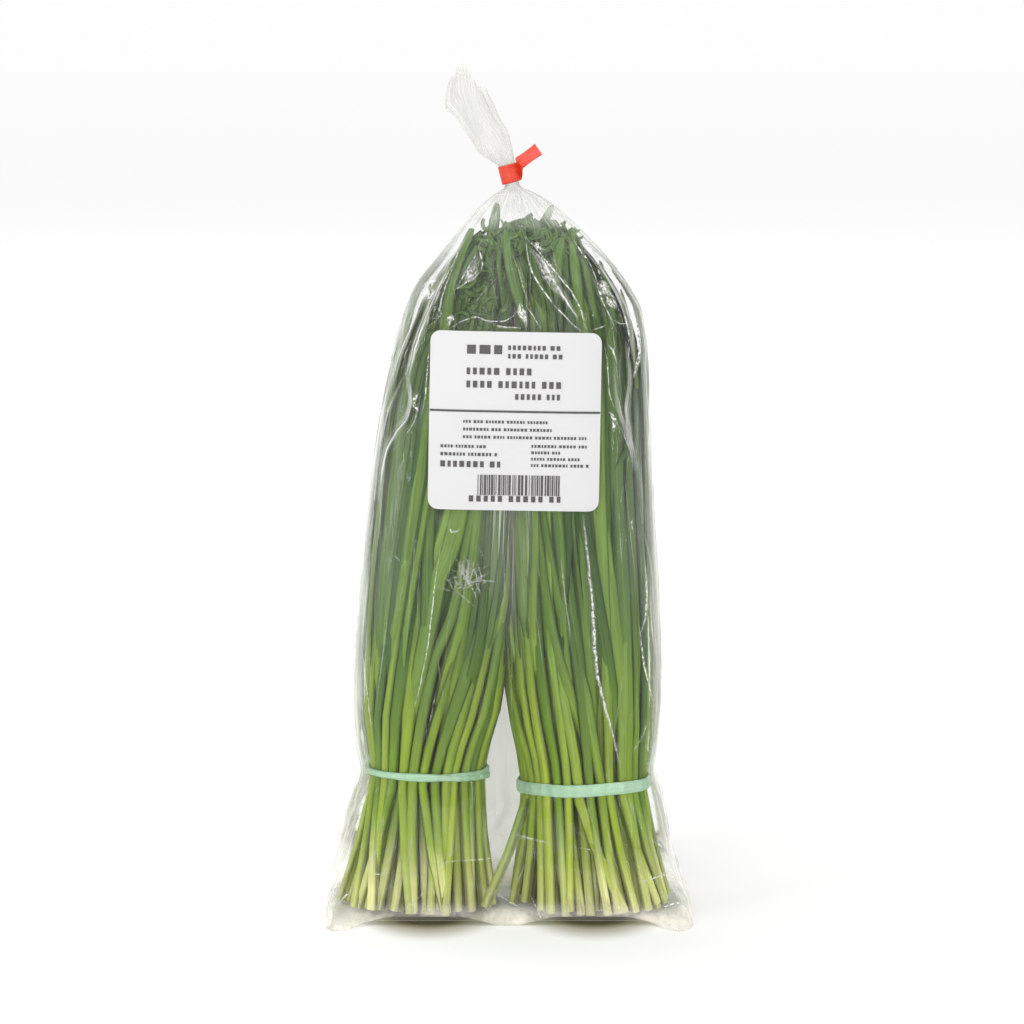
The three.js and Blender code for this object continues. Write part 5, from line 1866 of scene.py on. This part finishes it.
def make_surround(context, settings):
    """A white surround that lights the scene less than it looks."""
    world = bpy.data.worlds.new("surround")
    world.use_nodes = True
    nodes, links = world.node_tree.nodes, world.node_tree.links
    lit, seen = nodes["Background"], nodes.new("ShaderNodeBackground")
    lit.inputs["Color"].default_value = seen.inputs["Color"].default_value = (1, 1, 0.995, 1)
    lit.inputs["Strength"].default_value = settings.surround
    seen.inputs["Strength"].default_value = 0.985
    path, either = nodes.new("ShaderNodeLightPath"), nodes.new("ShaderNodeMixShader")
    links.new(path.outputs["Is Diffuse Ray"], either.inputs[0])
    links.new(seen.outputs[0], either.inputs[1])
    links.new(lit.outputs[0], either.inputs[2])
    links.new(either.outputs[0], nodes["World Output"].inputs["Surface"])
    context.scene.world = world


class CHIVES_OT_stage(bpy.types.Operator):
    """Makes the floor, the lights and the camera"""

    bl_idname = "chives.stage"
    bl_label = "Stage"

    def execute(self, context):
        settings = context.scene.chive_bag.stage
        make_camera(settings)
        make_floor()
        area_light("key", settings.key, (4.0, 4.0), (-0.5, 0.35, 3.6), (0, 0, 0.1))
        area_light("front", settings.front, (2.2, 1.2), (-0.4, -2.6, 0.9), (0, 0, 0.2))
        area_light("strip_left", settings.rim, (0.06, 1.2), (-1.0, -0.7, 0.5), (0, 0, 0.2))
        area_light("strip_right", settings.rim, (0.06, 1.2), (0.95, -0.85, 0.5), (0, 0, 0.2))
        make_surround(context, settings)
        context.scene.view_settings.view_transform = "Standard"
        context.scene.cycles.transparent_max_bounces = 32
        return {"FINISHED"}


# --- the add-on ------------------------------------------------------------------------------------


class CHIVES_PT_panel(bpy.types.Panel):
    """Lists the steps that make the bagged chives"""

    bl_idname = "CHIVES_PT_panel"
    bl_label = "Bagged chives"
    bl_space_type = "VIEW_3D"
    bl_region_type = "UI"
    bl_category = "Chives"

    def draw(self, context):
        for step in STEPS:
            self.layout.operator(step.bl_idname)
        for group in ("chives", "ties", "film", "label", "stage"):
            settings = getattr(context.scene.chive_bag, group)
            box = self.layout.box()
            for name in settings.__annotations__:
                box.prop(settings, name)


STEPS = (
    CHIVES_OT_stage,
    CHIVES_OT_bunches,
    CHIVES_OT_rubber_bands,
    CHIVES_OT_film_bag,
    CHIVES_OT_label,
    CHIVES_OT_closing_tape,
)
GROUPS = (ChiveSettings, TieSettings, FilmSettings, LabelSettings, StageSettings, ChiveBagSettings)


def register():
    for cls in (*GROUPS, *STEPS, CHIVES_PT_panel):
        bpy.utils.register_class(cls)
    bpy.types.Scene.chive_bag = bpy.props.PointerProperty(type=ChiveBagSettings)


def unregister():
    del bpy.types.Scene.chive_bag
    for cls in reversed((*GROUPS, *STEPS, CHIVES_PT_panel)):
        bpy.utils.unregister_class(cls)


def main():
    register()
    bpy.ops.chives.stage()
    bpy.ops.chives.bunches()
    bpy.ops.chives.rubber_bands()
    bpy.ops.chives.film_bag()
    bpy.ops.chives.label()
    bpy.ops.chives.closing_tape()


if __name__ == "__main__":
    main()
